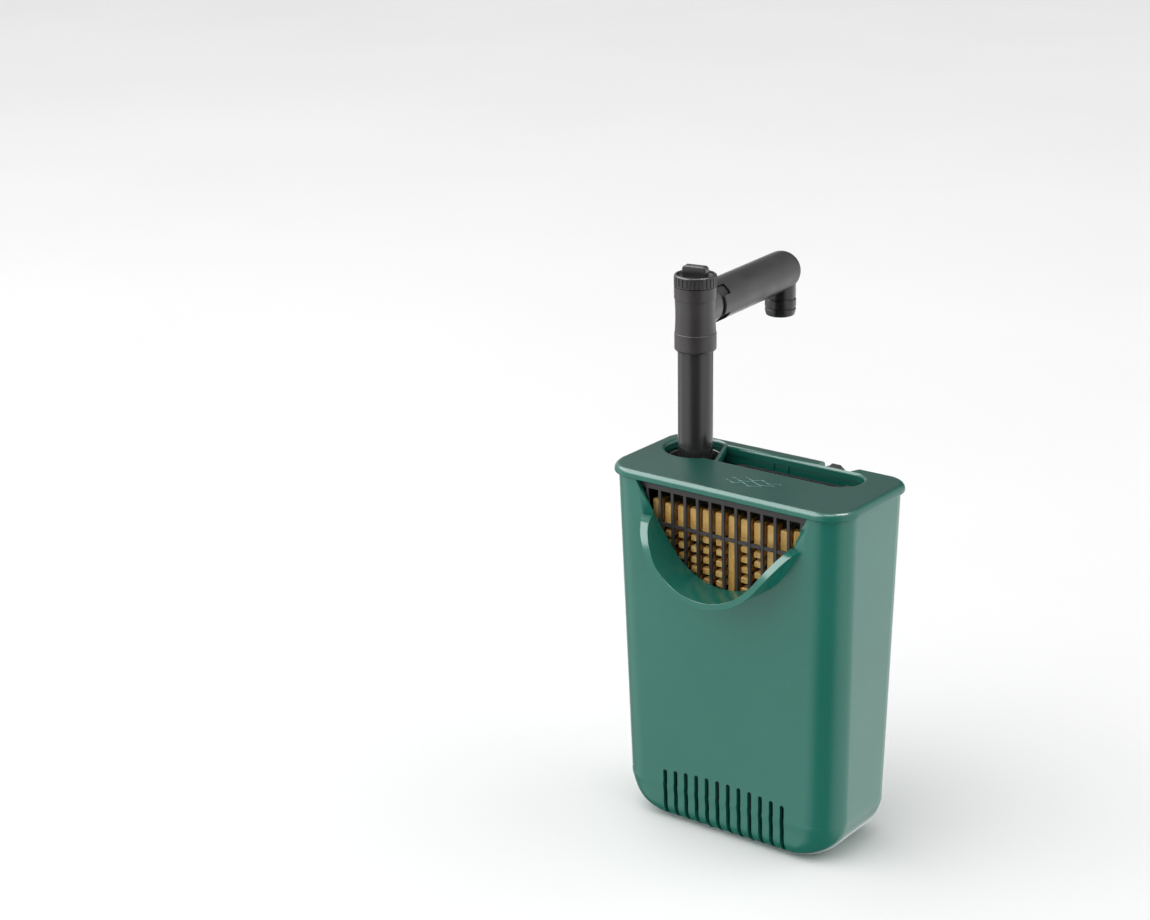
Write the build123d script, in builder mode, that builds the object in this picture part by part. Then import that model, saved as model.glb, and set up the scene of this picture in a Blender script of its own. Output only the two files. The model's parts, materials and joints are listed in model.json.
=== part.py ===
"""Internal power filter for a turtle tank.

A drafted green casing holds a pump, a drop-in cartridge and a tan bio grid. Water enters through
the slots at the foot of the front wall, is pumped up the black riser, and comes back either through
the spout under the lid or through the hose nozzle at the end of the swivelling arm.

Frame: origin at the centre of the casing's flat base, +Z up, -Y towards the front. Millimetres.
"""
import os
from math import cos, radians, sin, sqrt, tan

from build123d import *

# ---------------------------------------------------------------- driving dimensions
WALL = 2.3                      # casing wall
CASE_HEIGHT = 168.0             # top edge of the casing
BASE_HALF_WIDTH, TOP_HALF_WIDTH = 57.9, 62.2
BASE_HALF_DEPTH, TOP_HALF_DEPTH = 26.1, 30.05
FRONT_CORNER, REAR_CORNER = 14.5, 11.0          # vertical corners of the casing
SIDE_FOOT_RADIUS = 20.0         # bottom corners, seen from the front
FRONT_FOOT_RADIUS = 9.0         # bottom edge, seen from the side

LID_WIDTH, LID_DEPTH, LID_HEIGHT = 128.0, 62.8, 4.0
LID_FRONT_CORNER, LID_REAR_CORNER = 15.0, 12.0
LID_ROUND, LID_UNDER_ROUND = 2.8, 0.8           # outer edge of the lid, above and below
SLOT_ROUND = 1.7                                # upper edge of the slot and the riser hole
LID_TOP = CASE_HEIGHT + LID_HEIGHT

RISER_X, RISER_Y = -42.0, 12.3  # axis of the riser
RISER_RADIUS, RISER_BORE = 8.2, 6.6
RISER_FOOT, RISER_TOP = 75.0, 234.2
FIT = 0.07                      # radial clearance of a running fit
GAP = 0.3                       # clearance between other neighbours

KEYHOLE_LEFT, KEYHOLE_RIGHT = -33.0, 46.0       # cartridge slot in the lid
KEYHOLE_FRONT, KEYHOLE_BACK = 3.5, 23.5
LIP_WALL, LIP_DROP = 1.4, 4.0           # lip under the lid that drops into the casing
SLOT_STEP = 0.6                 # how far the lip stands back from the slot
SLOT_RIBS, SLOT_RIB_WIDTH = (-6.5, 1.5), 0.9    # ribs on the lip: their x, and their width
RISER_HOLE_RADIUS = 14.5
BRIDGE_FRONT, BRIDGE_BACK = -23.4, -31.8        # slanted bar that ends the slot: x at its front and back
BRIDGE_WIDTH, BRIDGE_FOOT = 1.8, CASE_HEIGHT + 0.5

LEDGE_HEIGHT = 152.0            # top of the spout's two side walls
SPOUT_HALF_WIDTH = 36.9         # inside, at the ledges
SPOUT_TIP, SPOUT_RADIUS = 52.7, 33.0            # inside: depth of its V, and the arc at its floor
SPOUT_RIM_HALF_WIDTH = 41.2     # outside, at the ledges
SPOUT_RIM_TIP, SPOUT_RIM_RADIUS = 54.7, 35.8
SPOUT_BLEND = 8.0               # radius that blends the spout into the front wall
SPOUT_REACH = 45.8              # how far the rim stands in front of the origin
OPENING_TOP_HALF_WIDTH = 45.7

TEE_FOOT, TEE_FLOOR, TEE_TOP, TEE_HEAD = 228.2, 234.6, 249.7, 253.0
COLLAR_FOOT = 219.4
TEE_RADIUS = 9.6
TEE_STEP = 244.2                # where the tee's upper band starts
BOSS_RADIUS, BOSS_END = 9.2, 9.3        # boss on the tee's side that faces the arm
ARM_HEIGHT = 238.9              # axis of the arm
ARM_HEADING = 94.0              # degrees from +X
ARM_START, ARM_REACH = 11.5, 81.0
ARM_RADIUS = 9.7
SPIGOT_RADIUS = 8.5
NOZZLE_RADIUS, NOZZLE_BORE = 7.5, 6.0
NOZZLE_FOOT, NOZZLE_HEAD = 217.0, ARM_HEIGHT - 5.5
NOZZLE_GROOVES = (3.6, 8.1)     # shallow hose grooves, above the nozzle's foot

PUMP_Y, PUMP_Z = 1.5, 27.0      # axis of the rotor, which runs along X
SHAFT_RADIUS = 1.0
CHAMBER_RADIUS = 14.5           # impeller chamber
CHAMBER_LEFT, CHAMBER_RIGHT = -50.0, -34.0
IMPELLER_LEFT = -45.5
ROTOR_CAN_RADIUS, ROTOR_CAN_RIGHT = 8.6, 0.0
MOTOR_RIGHT = 16.0
VOLUTE_HEAD, OUTLET_BORE = 60.0, 5.6
SOCKET_RADIUS = 10.2            # outside of the sleeve that guides the riser
FLARE_RADIUS, FLARE_TOP = 13.4, 168.0           # funnel at the top of the sleeve

CARTRIDGE_LEFT, CARTRIDGE_RIGHT = -23.0, 44.0
CARTRIDGE_FRONT, CARTRIDGE_BACK = 6.0, 21.0
CARTRIDGE_FOOT, CARTRIDGE_HEAD = 56.2, 165.5
MEDIA_MARGIN = 7.2              # from the cartridge's foot and head to the media

BIO_FOOT, BIO_HEAD, BIO_HALF_WIDTH = 100.0, 161.0, 44.0
BIO_FACE, BIO_BACK = -23.4, -9.0
BIO_PEG_PITCH, BIO_STUB, BIO_SHIFT = 5.0, 12.0, -1.3
BIO_RIB_COLUMNS = (0, 3)        # columns that are one upright rib

BARREL_RADIUS, NECK_RADIUS = 7.4, 8.3
BARREL_FOOT, BARREL_HEAD = 234.9, 253.3
CAP_RADIUS, KNOB_FOOT, CAP_HEAD = 9.9, 253.4, 255.3
SPIGOT_END = 38.0
ARM_SEAL_LEFT, ARM_SEAL_RIGHT = 33.4, 35.8      # O-ring groove on the spigot
CAP_ROUND = 0.9
RECESS_RADIUS, RECESS_FLOOR = 8.6, 254.1        # recess in the top of the knurled ring
HUB_RADIUS, HUB_HEIGHT = 6.3, 0.6       # hole in the recess, filled by the tab's disc
KNURLS, KNURL_FOOT, KNURL_LENGTH = 28, 250.3, 4.1
KNURL_RADIUS = 0.75
TAB_LENGTH, TAB_THICKNESS, TAB_HEIGHT = 12.0, 4.4, 5.0
TAB_FOOT = RECESS_FLOOR + 0.1
TAB_ROUND, TAB_EDGE_ROUND = 1.8, 0.7
STEM_LENGTH = 11.0
TAB_TURN = 9.8                  # degrees from +X
NOTCHES, NOTCH_WIDTH, NOTCH_DEPTH = 4, 5.7, 6.0         # in the arm's end
NOTCH_TURN = 45.0               # degrees from +Z to the first notch

NOTCH_LEFT, NOTCH_RIGHT, NOTCH_FRONT = 17.0, 37.0, 24.5     # cord notch in the lid

SLOT_COUNT, SLOT_PITCH, SLOT_WIDTH = 12, 5.87, 2.2      # intake slots
SLOT_HEIGHT, SLOT_SPREAD = 28.4, 32.3

BAR_PITCH, BAR_WIDTH, BAR_DEPTH = 6.87, 1.6, 1.1        # upright bars of the front grate
GRATE_DEPTH = 2.2               # of its frame
GRATE_FOOT, GRATE_HEAD = 112.0, 166.5
GRATE_HALF_WIDTH = 47.0
GRATE_CROSSBAR = 148.0

SHELF_HEIGHT = 54.0             # underside of the divider's lower shelf
DIVIDER_HEAD, DIVIDER_THICKNESS = 150.0, 1.8
DIVIDER_Y = -4.7                # rear face of the divider's wall

CUP_X, CUP_Z = (-26.0, 26.0), (70.0, 130.0)     # suction cups on the back wall
CUP_PEG_RADIUS = 3.0
CUP_FACE = 47.0                 # plane of the cups' rims

CORD_X = 24.0                   # cord gland in the rear edge
CORD_SEAT_WIDTH, CORD_SEAT_DEPTH = 6.4, 9.0

# ---------------------------------------------------------------- frames used by several parts
WIDTH_DRAFT = (TOP_HALF_WIDTH - BASE_HALF_WIDTH) / CASE_HEIGHT
DEPTH_DRAFT = (TOP_HALF_DEPTH - BASE_HALF_DEPTH) / CASE_HEIGHT
ARM_DIRECTION = Vector(cos(radians(ARM_HEADING)), sin(radians(ARM_HEADING)), 0)
FRONT_FACE = Plane(origin=(0, -BASE_HALF_DEPTH, 0), x_dir=(1, 0, 0), z_dir=(0, -1, -DEPTH_DRAFT))
RISER_AXIS = Axis((RISER_X, RISER_Y, 0), (0, 0, 1))
RISER_SECTION = Plane(origin=(RISER_X, RISER_Y, 0), x_dir=(1, 0, 0), z_dir=(0, -1, 0))
ARM_AXIS = Axis((RISER_X, RISER_Y, ARM_HEIGHT), ARM_DIRECTION)
ARM_SECTION = Plane(
    origin=(RISER_X, RISER_Y, ARM_HEIGHT), x_dir=ARM_DIRECTION,
    z_dir=(ARM_DIRECTION.Y, -ARM_DIRECTION.X, 0))
NOZZLE_X = RISER_X + ARM_REACH * ARM_DIRECTION.X
NOZZLE_Y = RISER_Y + ARM_REACH * ARM_DIRECTION.Y
PUMP_AXIS = Axis((0, PUMP_Y, PUMP_Z), (1, 0, 0))
PUMP_SECTION = Plane(origin=(0, PUMP_Y, PUMP_Z), x_dir=(1, 0, 0), z_dir=(0, -1, 0))


def half_width(height):
    """Outer half width of the casing at a height."""
    return BASE_HALF_WIDTH + WIDTH_DRAFT * height


def half_depth(height):
    """Outer half depth of the casing at a height."""
    return BASE_HALF_DEPTH + DEPTH_DRAFT * height


def foot_inset(height, radius):
    """How far a quarter-round foot of that radius stands in from its wall at a height."""
    if height >= radius:
        return 0.0
    return radius - sqrt(radius ** 2 - (radius - height) ** 2)


def ring(low, high, inner, outer, section=RISER_SECTION, axis=RISER_AXIS):
    """A plain ring about an axis, from low to high along it."""
    along_x = axis is not RISER_AXIS
    with BuildPart() as solid:
        with BuildSketch(section):
            middle_along, middle_out = (low + high) / 2, (inner + outer) / 2
            if along_x:
                with Locations((middle_along, middle_out)):
                    Rectangle(high - low, outer - inner)
            else:
                with Locations((middle_out, middle_along)):
                    Rectangle(outer - inner, high - low)
        revolve(axis=axis)
    return solid.part


def block(low, high):
    """A plain box between two corners."""
    with BuildPart() as solid:
        with Locations(((low[0] + high[0]) / 2, (low[1] + high[1]) / 2, (low[2] + high[2]) / 2)):
            Box(high[0] - low[0], high[1] - low[1], high[2] - low[2])
    return solid.part


def footprint(wide, deep, front_corner, rear_corner):
    """A rectangle seen from above, with its front corners rounded apart from its rear ones."""
    with BuildSketch() as outline:
        Rectangle(wide, deep)
        fillet(outline.vertices().group_by(Axis.Y)[0], front_corner)
        fillet(outline.vertices().group_by(Axis.Y)[-1], rear_corner)
    return outline.sketch


def save(piece, name):
    """Label a finished piece and write it."""
    piece.label = name
    export_step(piece, f"parts/{name}.step")


# ---------------------------------------------------------------- casing
def hull_section(level, inset):
    """Height and outline of the casing's form at a level above its own foot."""
    height = level + inset
    side_inset = foot_inset(level, SIDE_FOOT_RADIUS - inset)
    front_inset = foot_inset(level, FRONT_FOOT_RADIUS - inset)
    wide = half_width(height) - inset - side_inset
    deep = half_depth(height) - inset - front_inset
    tighter = inset + 0.5 * front_inset
    return height, footprint(2 * wide, 2 * deep, FRONT_CORNER - tighter, REAR_CORNER - tighter)


def hull(inset):
    """The casing's outer form, or its cavity when inset by the wall."""
    side_radius = SIDE_FOOT_RADIUS - inset
    front_radius = FRONT_FOOT_RADIUS - inset
    foot_levels = [front_radius * (1 - cos(radians(angle))) for angle in (0, 20, 40, 60, 80)]
    foot_levels += [side_radius * share for share in (0.55, 0.75, 1.0)]
    with BuildPart() as solid:
        for level in foot_levels:
            height, outline = hull_section(level, inset)
            with BuildSketch(Plane.XY.offset(height)):
                add(outline)
        loft()
        for level in (side_radius, CASE_HEIGHT):
            height, outline = hull_section(level, inset)
            with BuildSketch(Plane.XY.offset(height)):
                add(outline)
        loft(ruled=True)
    return solid.part


def spout_corners(half, tip):
    """Corners of the V whose tip, once rounded, makes the spout's U."""
    return [(half, LEDGE_HEIGHT), (0, LEDGE_HEIGHT - tip), (-half, LEDGE_HEIGHT)]


def spout():
    """The lip that carries the outflow clear of the front wall, before its trough is cut."""
    with BuildPart() as solid:
        for angle in (8, 20, 35, 50, 65, 80, 90):
            proud = SPOUT_BLEND * (1 - cos(radians(angle)))
            spread = foot_inset(proud, SPOUT_BLEND)
            corners = spout_corners(SPOUT_RIM_HALF_WIDTH + 0.25 * spread, SPOUT_RIM_TIP + 1.66 * spread)
            with BuildSketch(FRONT_FACE.offset(proud)) as outline:
                with BuildLine():
                    Polyline(*corners, close=True)
                make_face()
                fillet(outline.vertices().sort_by(Axis.Y)[0], SPOUT_RIM_RADIUS + spread)
        loft()
        extrude(solid.faces().sort_by(Axis.Y)[0], amount=SPOUT_REACH, dir=(0, -1, 0))
        extrude(solid.faces().sort_by(Axis.Y)[-1], amount=1.5, dir=(0, 1, 0))
        with BuildSketch(Plane.YZ):
            with BuildLine():
                root = -half_depth(LEDGE_HEIGHT) + WALL
                rim = Spline((-half_depth(LEDGE_HEIGHT), LEDGE_HEIGHT), (-38.6, 146.6), (-43.6, 138.0),
                             (-SPOUT_REACH, 125.0), tangents=[(-1, -0.35), (-0.1, -1)])
                Polyline(rim @ 1, (-SPOUT_REACH, 90), (root, 90), (root, LEDGE_HEIGHT), rim @ 0)
            make_face()
        extrude(amount=60, both=True, mode=Mode.INTERSECT)
    return solid.part


def intake_slots():
    """Cutters for the row of upright slots at the foot of the front wall."""
    with BuildPart() as cutters:
        for index in range(SLOT_COUNT):
            across = (index - (SLOT_COUNT - 1) / 2) * SLOT_PITCH
            arch = (across / SLOT_SPREAD) ** 2
            low, high = 1.4 + 1.3 * arch, SLOT_HEIGHT - 2.2 * arch
            with BuildSketch(Plane.XZ.offset(16)):
                with Locations((across, (low + high) / 2)):
                    SlotOverall(high - low, SLOT_WIDTH, rotation=90)
            extrude(amount=20, dir=(0, -1, 0))
    return cutters.part


def make_casing():
    """One open-topped shell with the spout, the intake slots and the seats for what hangs on it."""
    with BuildPart() as casing:
        add(hull(0))
        add(spout())
        add(hull(WALL), mode=Mode.SUBTRACT)
        with BuildSketch(Plane.XZ.offset(15)) as opening:
            with BuildLine():
                above = CASE_HEIGHT + 2
                rise = (OPENING_TOP_HALF_WIDTH - SPOUT_HALF_WIDTH) / (CASE_HEIGHT - LEDGE_HEIGHT)
                spread = OPENING_TOP_HALF_WIDTH + 2 * rise
                corners = spout_corners(SPOUT_HALF_WIDTH, SPOUT_TIP)
                Polyline(*corners, (-spread, above), (spread, above), close=True)
            make_face()
            fillet(opening.vertices().sort_by(Axis.Y)[0], SPOUT_RADIUS)
        extrude(amount=50, dir=(0, -1, 0), mode=Mode.SUBTRACT)
        for side in (-1, 1):
            with BuildSketch(Plane.XY.offset(LEDGE_HEIGHT), mode=Mode.PRIVATE) as facet:
                with BuildLine():
                    face, back = -half_depth(LEDGE_HEIGHT) - 0.4, -half_depth(LEDGE_HEIGHT) + WALL + 0.3
                    inner, outer = side * (SPOUT_HALF_WIDTH - 1), side * SPOUT_RIM_HALF_WIDTH
                    Polyline((inner, face), (outer, face), (side * SPOUT_HALF_WIDTH, back),
                             (inner, back), close=True)
                make_face()
            tip = Vertex(side * OPENING_TOP_HALF_WIDTH, -TOP_HALF_DEPTH + 0.2, CASE_HEIGHT)
            loft(sections=[facet.sketch.faces()[0], tip], mode=Mode.SUBTRACT)
        add(intake_slots(), mode=Mode.SUBTRACT)
        with Locations(*[(x, half_depth(z), z) for x in CUP_X for z in CUP_Z]):
            Cylinder(CUP_PEG_RADIUS + 0.25, 12, rotation=(90, 0, 0), mode=Mode.SUBTRACT)
        with BuildSketch(Plane.XZ.offset(-20)):
            with Locations((CORD_X, CASE_HEIGHT)):
                SlotOverall(2 * CORD_SEAT_DEPTH, CORD_SEAT_WIDTH, rotation=90)
        extrude(amount=20, dir=(0, 1, 0), mode=Mode.SUBTRACT)
        for side in (-1, 1):
            inner = half_width(SHELF_HEIGHT) - WALL - 3.0
            with Locations((side * (inner + 2.2), 4, SHELF_HEIGHT - 2.2)):
                Box(4.4, 16, 3.6)
    save(casing.part, "casing")


# ---------------------------------------------------------------- lid
def make_lid():
    """Cover plate with a keyhole for the riser and the cartridge, and a notch for the cord."""
    middle = (KEYHOLE_FRONT + KEYHOLE_BACK) / 2
    slot_depth = KEYHOLE_BACK - KEYHOLE_FRONT
    with BuildSketch(Plane.XY) as slot:
        with Locations(((KEYHOLE_LEFT + KEYHOLE_RIGHT) / 2 - 4, middle)):
            Rectangle(KEYHOLE_RIGHT - KEYHOLE_LEFT - 8, slot_depth)
        with Locations((KEYHOLE_RIGHT - 15, middle)):
            RectangleRounded(30, slot_depth, 9.0)
    with BuildPart() as lid:
        with BuildSketch(Plane.XY.offset(CASE_HEIGHT)):
            add(footprint(LID_WIDTH, LID_DEPTH, LID_FRONT_CORNER, LID_REAR_CORNER))
        extrude(amount=LID_HEIGHT)
        fillet(lid.faces().sort_by(Axis.Z)[-1].edges(), LID_ROUND)
        fillet(lid.faces().sort_by(Axis.Z)[0].edges(), LID_UNDER_ROUND)
        inner_width = 2 * (half_width(CASE_HEIGHT) - WALL - GAP)
        inner_depth = 2 * (half_depth(CASE_HEIGHT) - WALL - GAP)
        with BuildSketch(Plane.XY.offset(CASE_HEIGHT)):
            add(footprint(inner_width, inner_depth, FRONT_CORNER - WALL, REAR_CORNER - WALL))
            offset(amount=-LIP_WALL, kind=Kind.INTERSECTION, mode=Mode.SUBTRACT)
            with Locations((0, -25)):
                Rectangle(2 * GRATE_HALF_WIDTH + 4, 30, mode=Mode.SUBTRACT)
            with Locations((CORD_X, 28)):
                Rectangle(CORD_SEAT_WIDTH + 6, 8, mode=Mode.SUBTRACT)
        extrude(amount=-LIP_DROP)
        with BuildSketch(Plane.XY.offset(CASE_HEIGHT)):
            add(slot.sketch)
            offset(amount=LIP_WALL + SLOT_STEP, kind=Kind.ARC)
        extrude(amount=-LIP_DROP - 0.5)
        with BuildSketch(Plane.XY.offset(CASE_HEIGHT)):
            add(slot.sketch)
            offset(amount=SLOT_STEP, kind=Kind.ARC)
            with Locations(*[(x, KEYHOLE_BACK + SLOT_STEP) for x in SLOT_RIBS]):
                Rectangle(SLOT_RIB_WIDTH, 2 * SLOT_STEP, mode=Mode.SUBTRACT)
        extrude(amount=-LIP_DROP - 1, mode=Mode.SUBTRACT)
        with BuildSketch(Plane.XY.offset(CASE_HEIGHT - LIP_DROP - 2)):
            add(slot.sketch)
            with Locations((RISER_X, RISER_Y + 0.7)):
                Circle(RISER_HOLE_RADIUS)
        extrude(amount=LIP_DROP + LID_HEIGHT + 4, mode=Mode.SUBTRACT)
        rim_edges = lid.faces().sort_by(Axis.Z)[-1].inner_wires().edges()
        fillet(rim_edges, SLOT_ROUND)
        with BuildSketch(Plane.XY.offset(CASE_HEIGHT - 1)):
            with BuildLine():
                Polyline((NOTCH_LEFT, NOTCH_FRONT), (NOTCH_LEFT, 40), (NOTCH_RIGHT + 4, 40),
                         (NOTCH_RIGHT - 2.5, NOTCH_FRONT), close=True)
            make_face()
        extrude(amount=8, mode=Mode.SUBTRACT)
        with BuildSketch(Plane.XY.offset(BRIDGE_FOOT)):
            with BuildLine():
                slant = (BRIDGE_BACK - BRIDGE_FRONT) / (KEYHOLE_BACK - KEYHOLE_FRONT)
                front, back = KEYHOLE_FRONT - 1.5, KEYHOLE_BACK + 1.5
                near, far = BRIDGE_FRONT - 1.5 * slant, BRIDGE_BACK + 1.5 * slant
                Polyline((near - BRIDGE_WIDTH, front), (near, front), (far, back), (far - BRIDGE_WIDTH, back),
                         close=True)
            make_face()
        extrude(amount=LID_TOP - 0.4 - BRIDGE_FOOT)
    save(lid.part, "lid")


# ---------------------------------------------------------------- front chamber
def make_front_grate():
    """Upright bars in a frame that lies against the inside of the front wall."""
    seat = FRONT_FACE.offset(-WALL - GAP)
    middle = (GRATE_FOOT + GRATE_HEAD) / 2
    height = GRATE_HEAD - GRATE_FOOT
    with BuildPart() as grate:
        with BuildSketch(seat):
            with Locations((0, middle)):
                Rectangle(2 * GRATE_HALF_WIDTH, height)
                Rectangle(2 * GRATE_HALF_WIDTH - 5, height - 5, mode=Mode.SUBTRACT)
        extrude(amount=-GRATE_DEPTH)
        with BuildSketch(seat):
            for index in range(-6, 7):
                with Locations((index * BAR_PITCH, middle)):
                    Rectangle(BAR_WIDTH, height)
        extrude(amount=-BAR_DEPTH)
        with BuildSketch(seat.offset(-0.2)):
            with Locations((0, GRATE_CROSSBAR)):
                Rectangle(2 * GRATE_HALF_WIDTH, 1.7)
        extrude(amount=0.2 - BAR_DEPTH)
    save(grate.part, "front_grate")


def make_bio_grid():
    """Tan lattice of ribs, stubs and pegs that gives bacteria somewhere to live."""
    depth, middle = BIO_BACK - BIO_FACE, (BIO_FACE + BIO_BACK) / 2
    height, level = BIO_HEAD - BIO_FOOT, (BIO_HEAD + BIO_FOOT) / 2
    first_peg = BIO_HEAD - BIO_STUB - 4
    rows = int((first_peg + 2 - BIO_FOOT) / BIO_PEG_PITCH)
    with BuildPart() as grid:
        with Locations((0, BIO_BACK - 1.2, level)):
            Box(2 * BIO_HALF_WIDTH, 2.4, height)
        for column in range(-6, 6):
            across = (column + 0.5) * BAR_PITCH + BIO_SHIFT
            if column in BIO_RIB_COLUMNS:
                with Locations((across, middle, level)):
                    Box(3.0, depth, height)
                continue
            with Locations((across, middle, BIO_HEAD - BIO_STUB / 2)):
                Box(3.6, depth, BIO_STUB)
            with Locations(*[(across, middle + 0.4, first_peg - BIO_PEG_PITCH * row) for row in range(rows)]):
                Cylinder(1.7, depth - 0.8, rotation=(90, 0, 0))
    save(grid.part, "bio_grid")


def make_divider():
    """Wall between the front and rear chambers, with a shelf on each side."""
    with BuildPart() as divider:
        low, high = SHELF_HEIGHT, DIVIDER_HEAD
        with BuildSketch(Plane.XZ.offset(-DIVIDER_Y)):
            with BuildLine():
                foot = half_width(low) - WALL - GAP
                head = half_width(high) - WALL - GAP
                Polyline((-foot, low), (foot, low), (head, high), (-head, high), close=True)
            make_face()
            with Locations(*[(x, high - 8) for x in (-40, -20, 0, 20, 40)]):
                SlotOverall(14, 5, mode=Mode.SUBTRACT)
        extrude(amount=DIVIDER_THICKNESS, dir=(0, -1, 0))
        width = 2 * (half_width(SHELF_HEIGHT) - WALL - GAP)
        with BuildSketch(Plane.XY.offset(SHELF_HEIGHT)):
            with Locations((0, 9.6)):
                Rectangle(width, 28.8)
            with Locations((RISER_X, RISER_Y)):
                Circle(SOCKET_RADIUS + 0.4, mode=Mode.SUBTRACT)
            with Locations(*[(x, y) for x in (-12, 0, 12, 24, 36) for y in (2, 18)]):
                Circle(2.5, mode=Mode.SUBTRACT)
        extrude(amount=DIVIDER_THICKNESS)
        with BuildSketch(Plane.XY.offset(BIO_FOOT - 2.2)):
            with Locations((0, -15.3)):
                Rectangle(2 * BIO_HALF_WIDTH + 2, 18.1)
            with Locations(*[(x, -14) for x in (-36, -24, -12, 0, 12, 24, 36)]):
                Circle(3.0, mode=Mode.SUBTRACT)
        extrude(amount=DIVIDER_THICKNESS)
        add(hull(WALL + GAP), mode=Mode.INTERSECT)
    save(divider.part, "divider")


# ---------------------------------------------------------------- cartridge
def make_cartridge():
    """A pull-out frame that holds a floss pad in front of a bed of carbon."""
    left, right = CARTRIDGE_LEFT, CARTRIDGE_RIGHT
    front, back = CARTRIDGE_FRONT, CARTRIDGE_BACK
    foot, head = CARTRIDGE_FOOT, CARTRIDGE_HEAD
    with BuildPart() as frame:
        with Locations(((left + right) / 2, (front + back) / 2, (foot + head) / 2)):
            Box(right - left, back - front, head - foot)
            Box(right - left - 5, back - front + 2, head - foot - 14, mode=Mode.SUBTRACT)
        with Locations(*[(left + (right - left) * share, back - 1, (foot + head) / 2)
                         for share in (0.2, 0.4, 0.6, 0.8)]):
            Box(1.6, 1.6, head - foot - 10)
        middle = (front + back) / 2
        for row in (-4.2, 0, 4.2):
            with Locations(((left + right) / 2, middle + row, head)):
                Box(right - left - 8, 2.2, 4, mode=Mode.SUBTRACT)
        fillet(frame.edges().filter_by(Axis.Z).group_by(Axis.X)[-1], 2.0)
        with Locations(((left + right) / 2 + 30, middle, head + 0.5)):
            Box(6, 5, 5)
    save(frame.part, "cartridge_frame")
    low, high = foot + MEDIA_MARGIN, head - MEDIA_MARGIN
    left, right = left + 2.8, right - 2.8
    save(block((left, front + 0.4, low), (right, front + 6.2, high)), "cartridge_floss")
    save(block((left, front + 6.4, low), (right, back - 2.0, high)), "cartridge_carbon")


# ---------------------------------------------------------------- pump
def screw_places():
    """Places, across Y and Z, of the three screws that close the impeller chamber."""
    reach = CHAMBER_RADIUS + 5.0
    angles = [radians(angle) for angle in (135, 225, 315)]
    return [(PUMP_Y + reach * cos(angle), PUMP_Z + reach * sin(angle)) for angle in angles]


def make_pump_housing():
    """Motor pot: a can for the rotor inside a shell that holds the potted stator."""
    with BuildPart() as housing:
        with BuildSketch(Plane.YZ.offset(CHAMBER_RIGHT)):
            with Locations((PUMP_Y, PUMP_Z)):
                RectangleRounded(34, 38, 6)
        extrude(amount=MOTOR_RIGHT - CHAMBER_RIGHT - 2.2)
        with BuildSketch(Plane.YZ.offset(CHAMBER_RIGHT + 2.2)):
            with Locations((PUMP_Y, PUMP_Z)):
                RectangleRounded(30, 34, 4)
        extrude(amount=60, mode=Mode.SUBTRACT)
        with BuildSketch(Plane.YZ.offset(CHAMBER_RIGHT)):
            with Locations((PUMP_Y, PUMP_Z)):
                Circle(ROTOR_CAN_RADIUS)
        extrude(amount=ROTOR_CAN_RIGHT - CHAMBER_RIGHT)
        with BuildSketch(Plane.YZ.offset(CHAMBER_RIGHT)):
            with Locations((PUMP_Y, PUMP_Z)):
                Circle(ROTOR_CAN_RADIUS - 1.1)
        extrude(amount=ROTOR_CAN_RIGHT - CHAMBER_RIGHT - 1.2, mode=Mode.SUBTRACT)
        with BuildSketch(Plane.YZ.offset(CHAMBER_RIGHT)):
            with Locations(*screw_places()):
                Circle(1.3)
        extrude(amount=2.2, mode=Mode.SUBTRACT)
    save(housing.part, "pump_housing")
    plug_left = MOTOR_RIGHT - 2.2
    with BuildPart() as plug:
        with BuildSketch(Plane.YZ.offset(plug_left)):
            with Locations((PUMP_Y, PUMP_Z)):
                RectangleRounded(34, 38, 6)
        extrude(amount=2.2)
        fillet(plug.faces().sort_by(Axis.X)[-1].edges(), 1.2)
    save(plug.part, "motor_end_cap")


def make_stator():
    """Laminated core around the rotor can, with one wound coil beside it."""
    with BuildPart() as core:
        with BuildSketch(Plane.YZ.offset(CHAMBER_RIGHT + 8)):
            with Locations((PUMP_Y, PUMP_Z)):
                Rectangle(28, 32)
                Circle(ROTOR_CAN_RADIUS + 0.2, mode=Mode.SUBTRACT)
        extrude(amount=18)
        fillet(core.edges().filter_by(Axis.X), 1.0)
    save(core.part, "motor_core")
    save(ring(ROTOR_CAN_RIGHT + 1.0, MOTOR_RIGHT - 3.5, 4.0, 13.5, PUMP_SECTION, PUMP_AXIS), "motor_coil")


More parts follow.
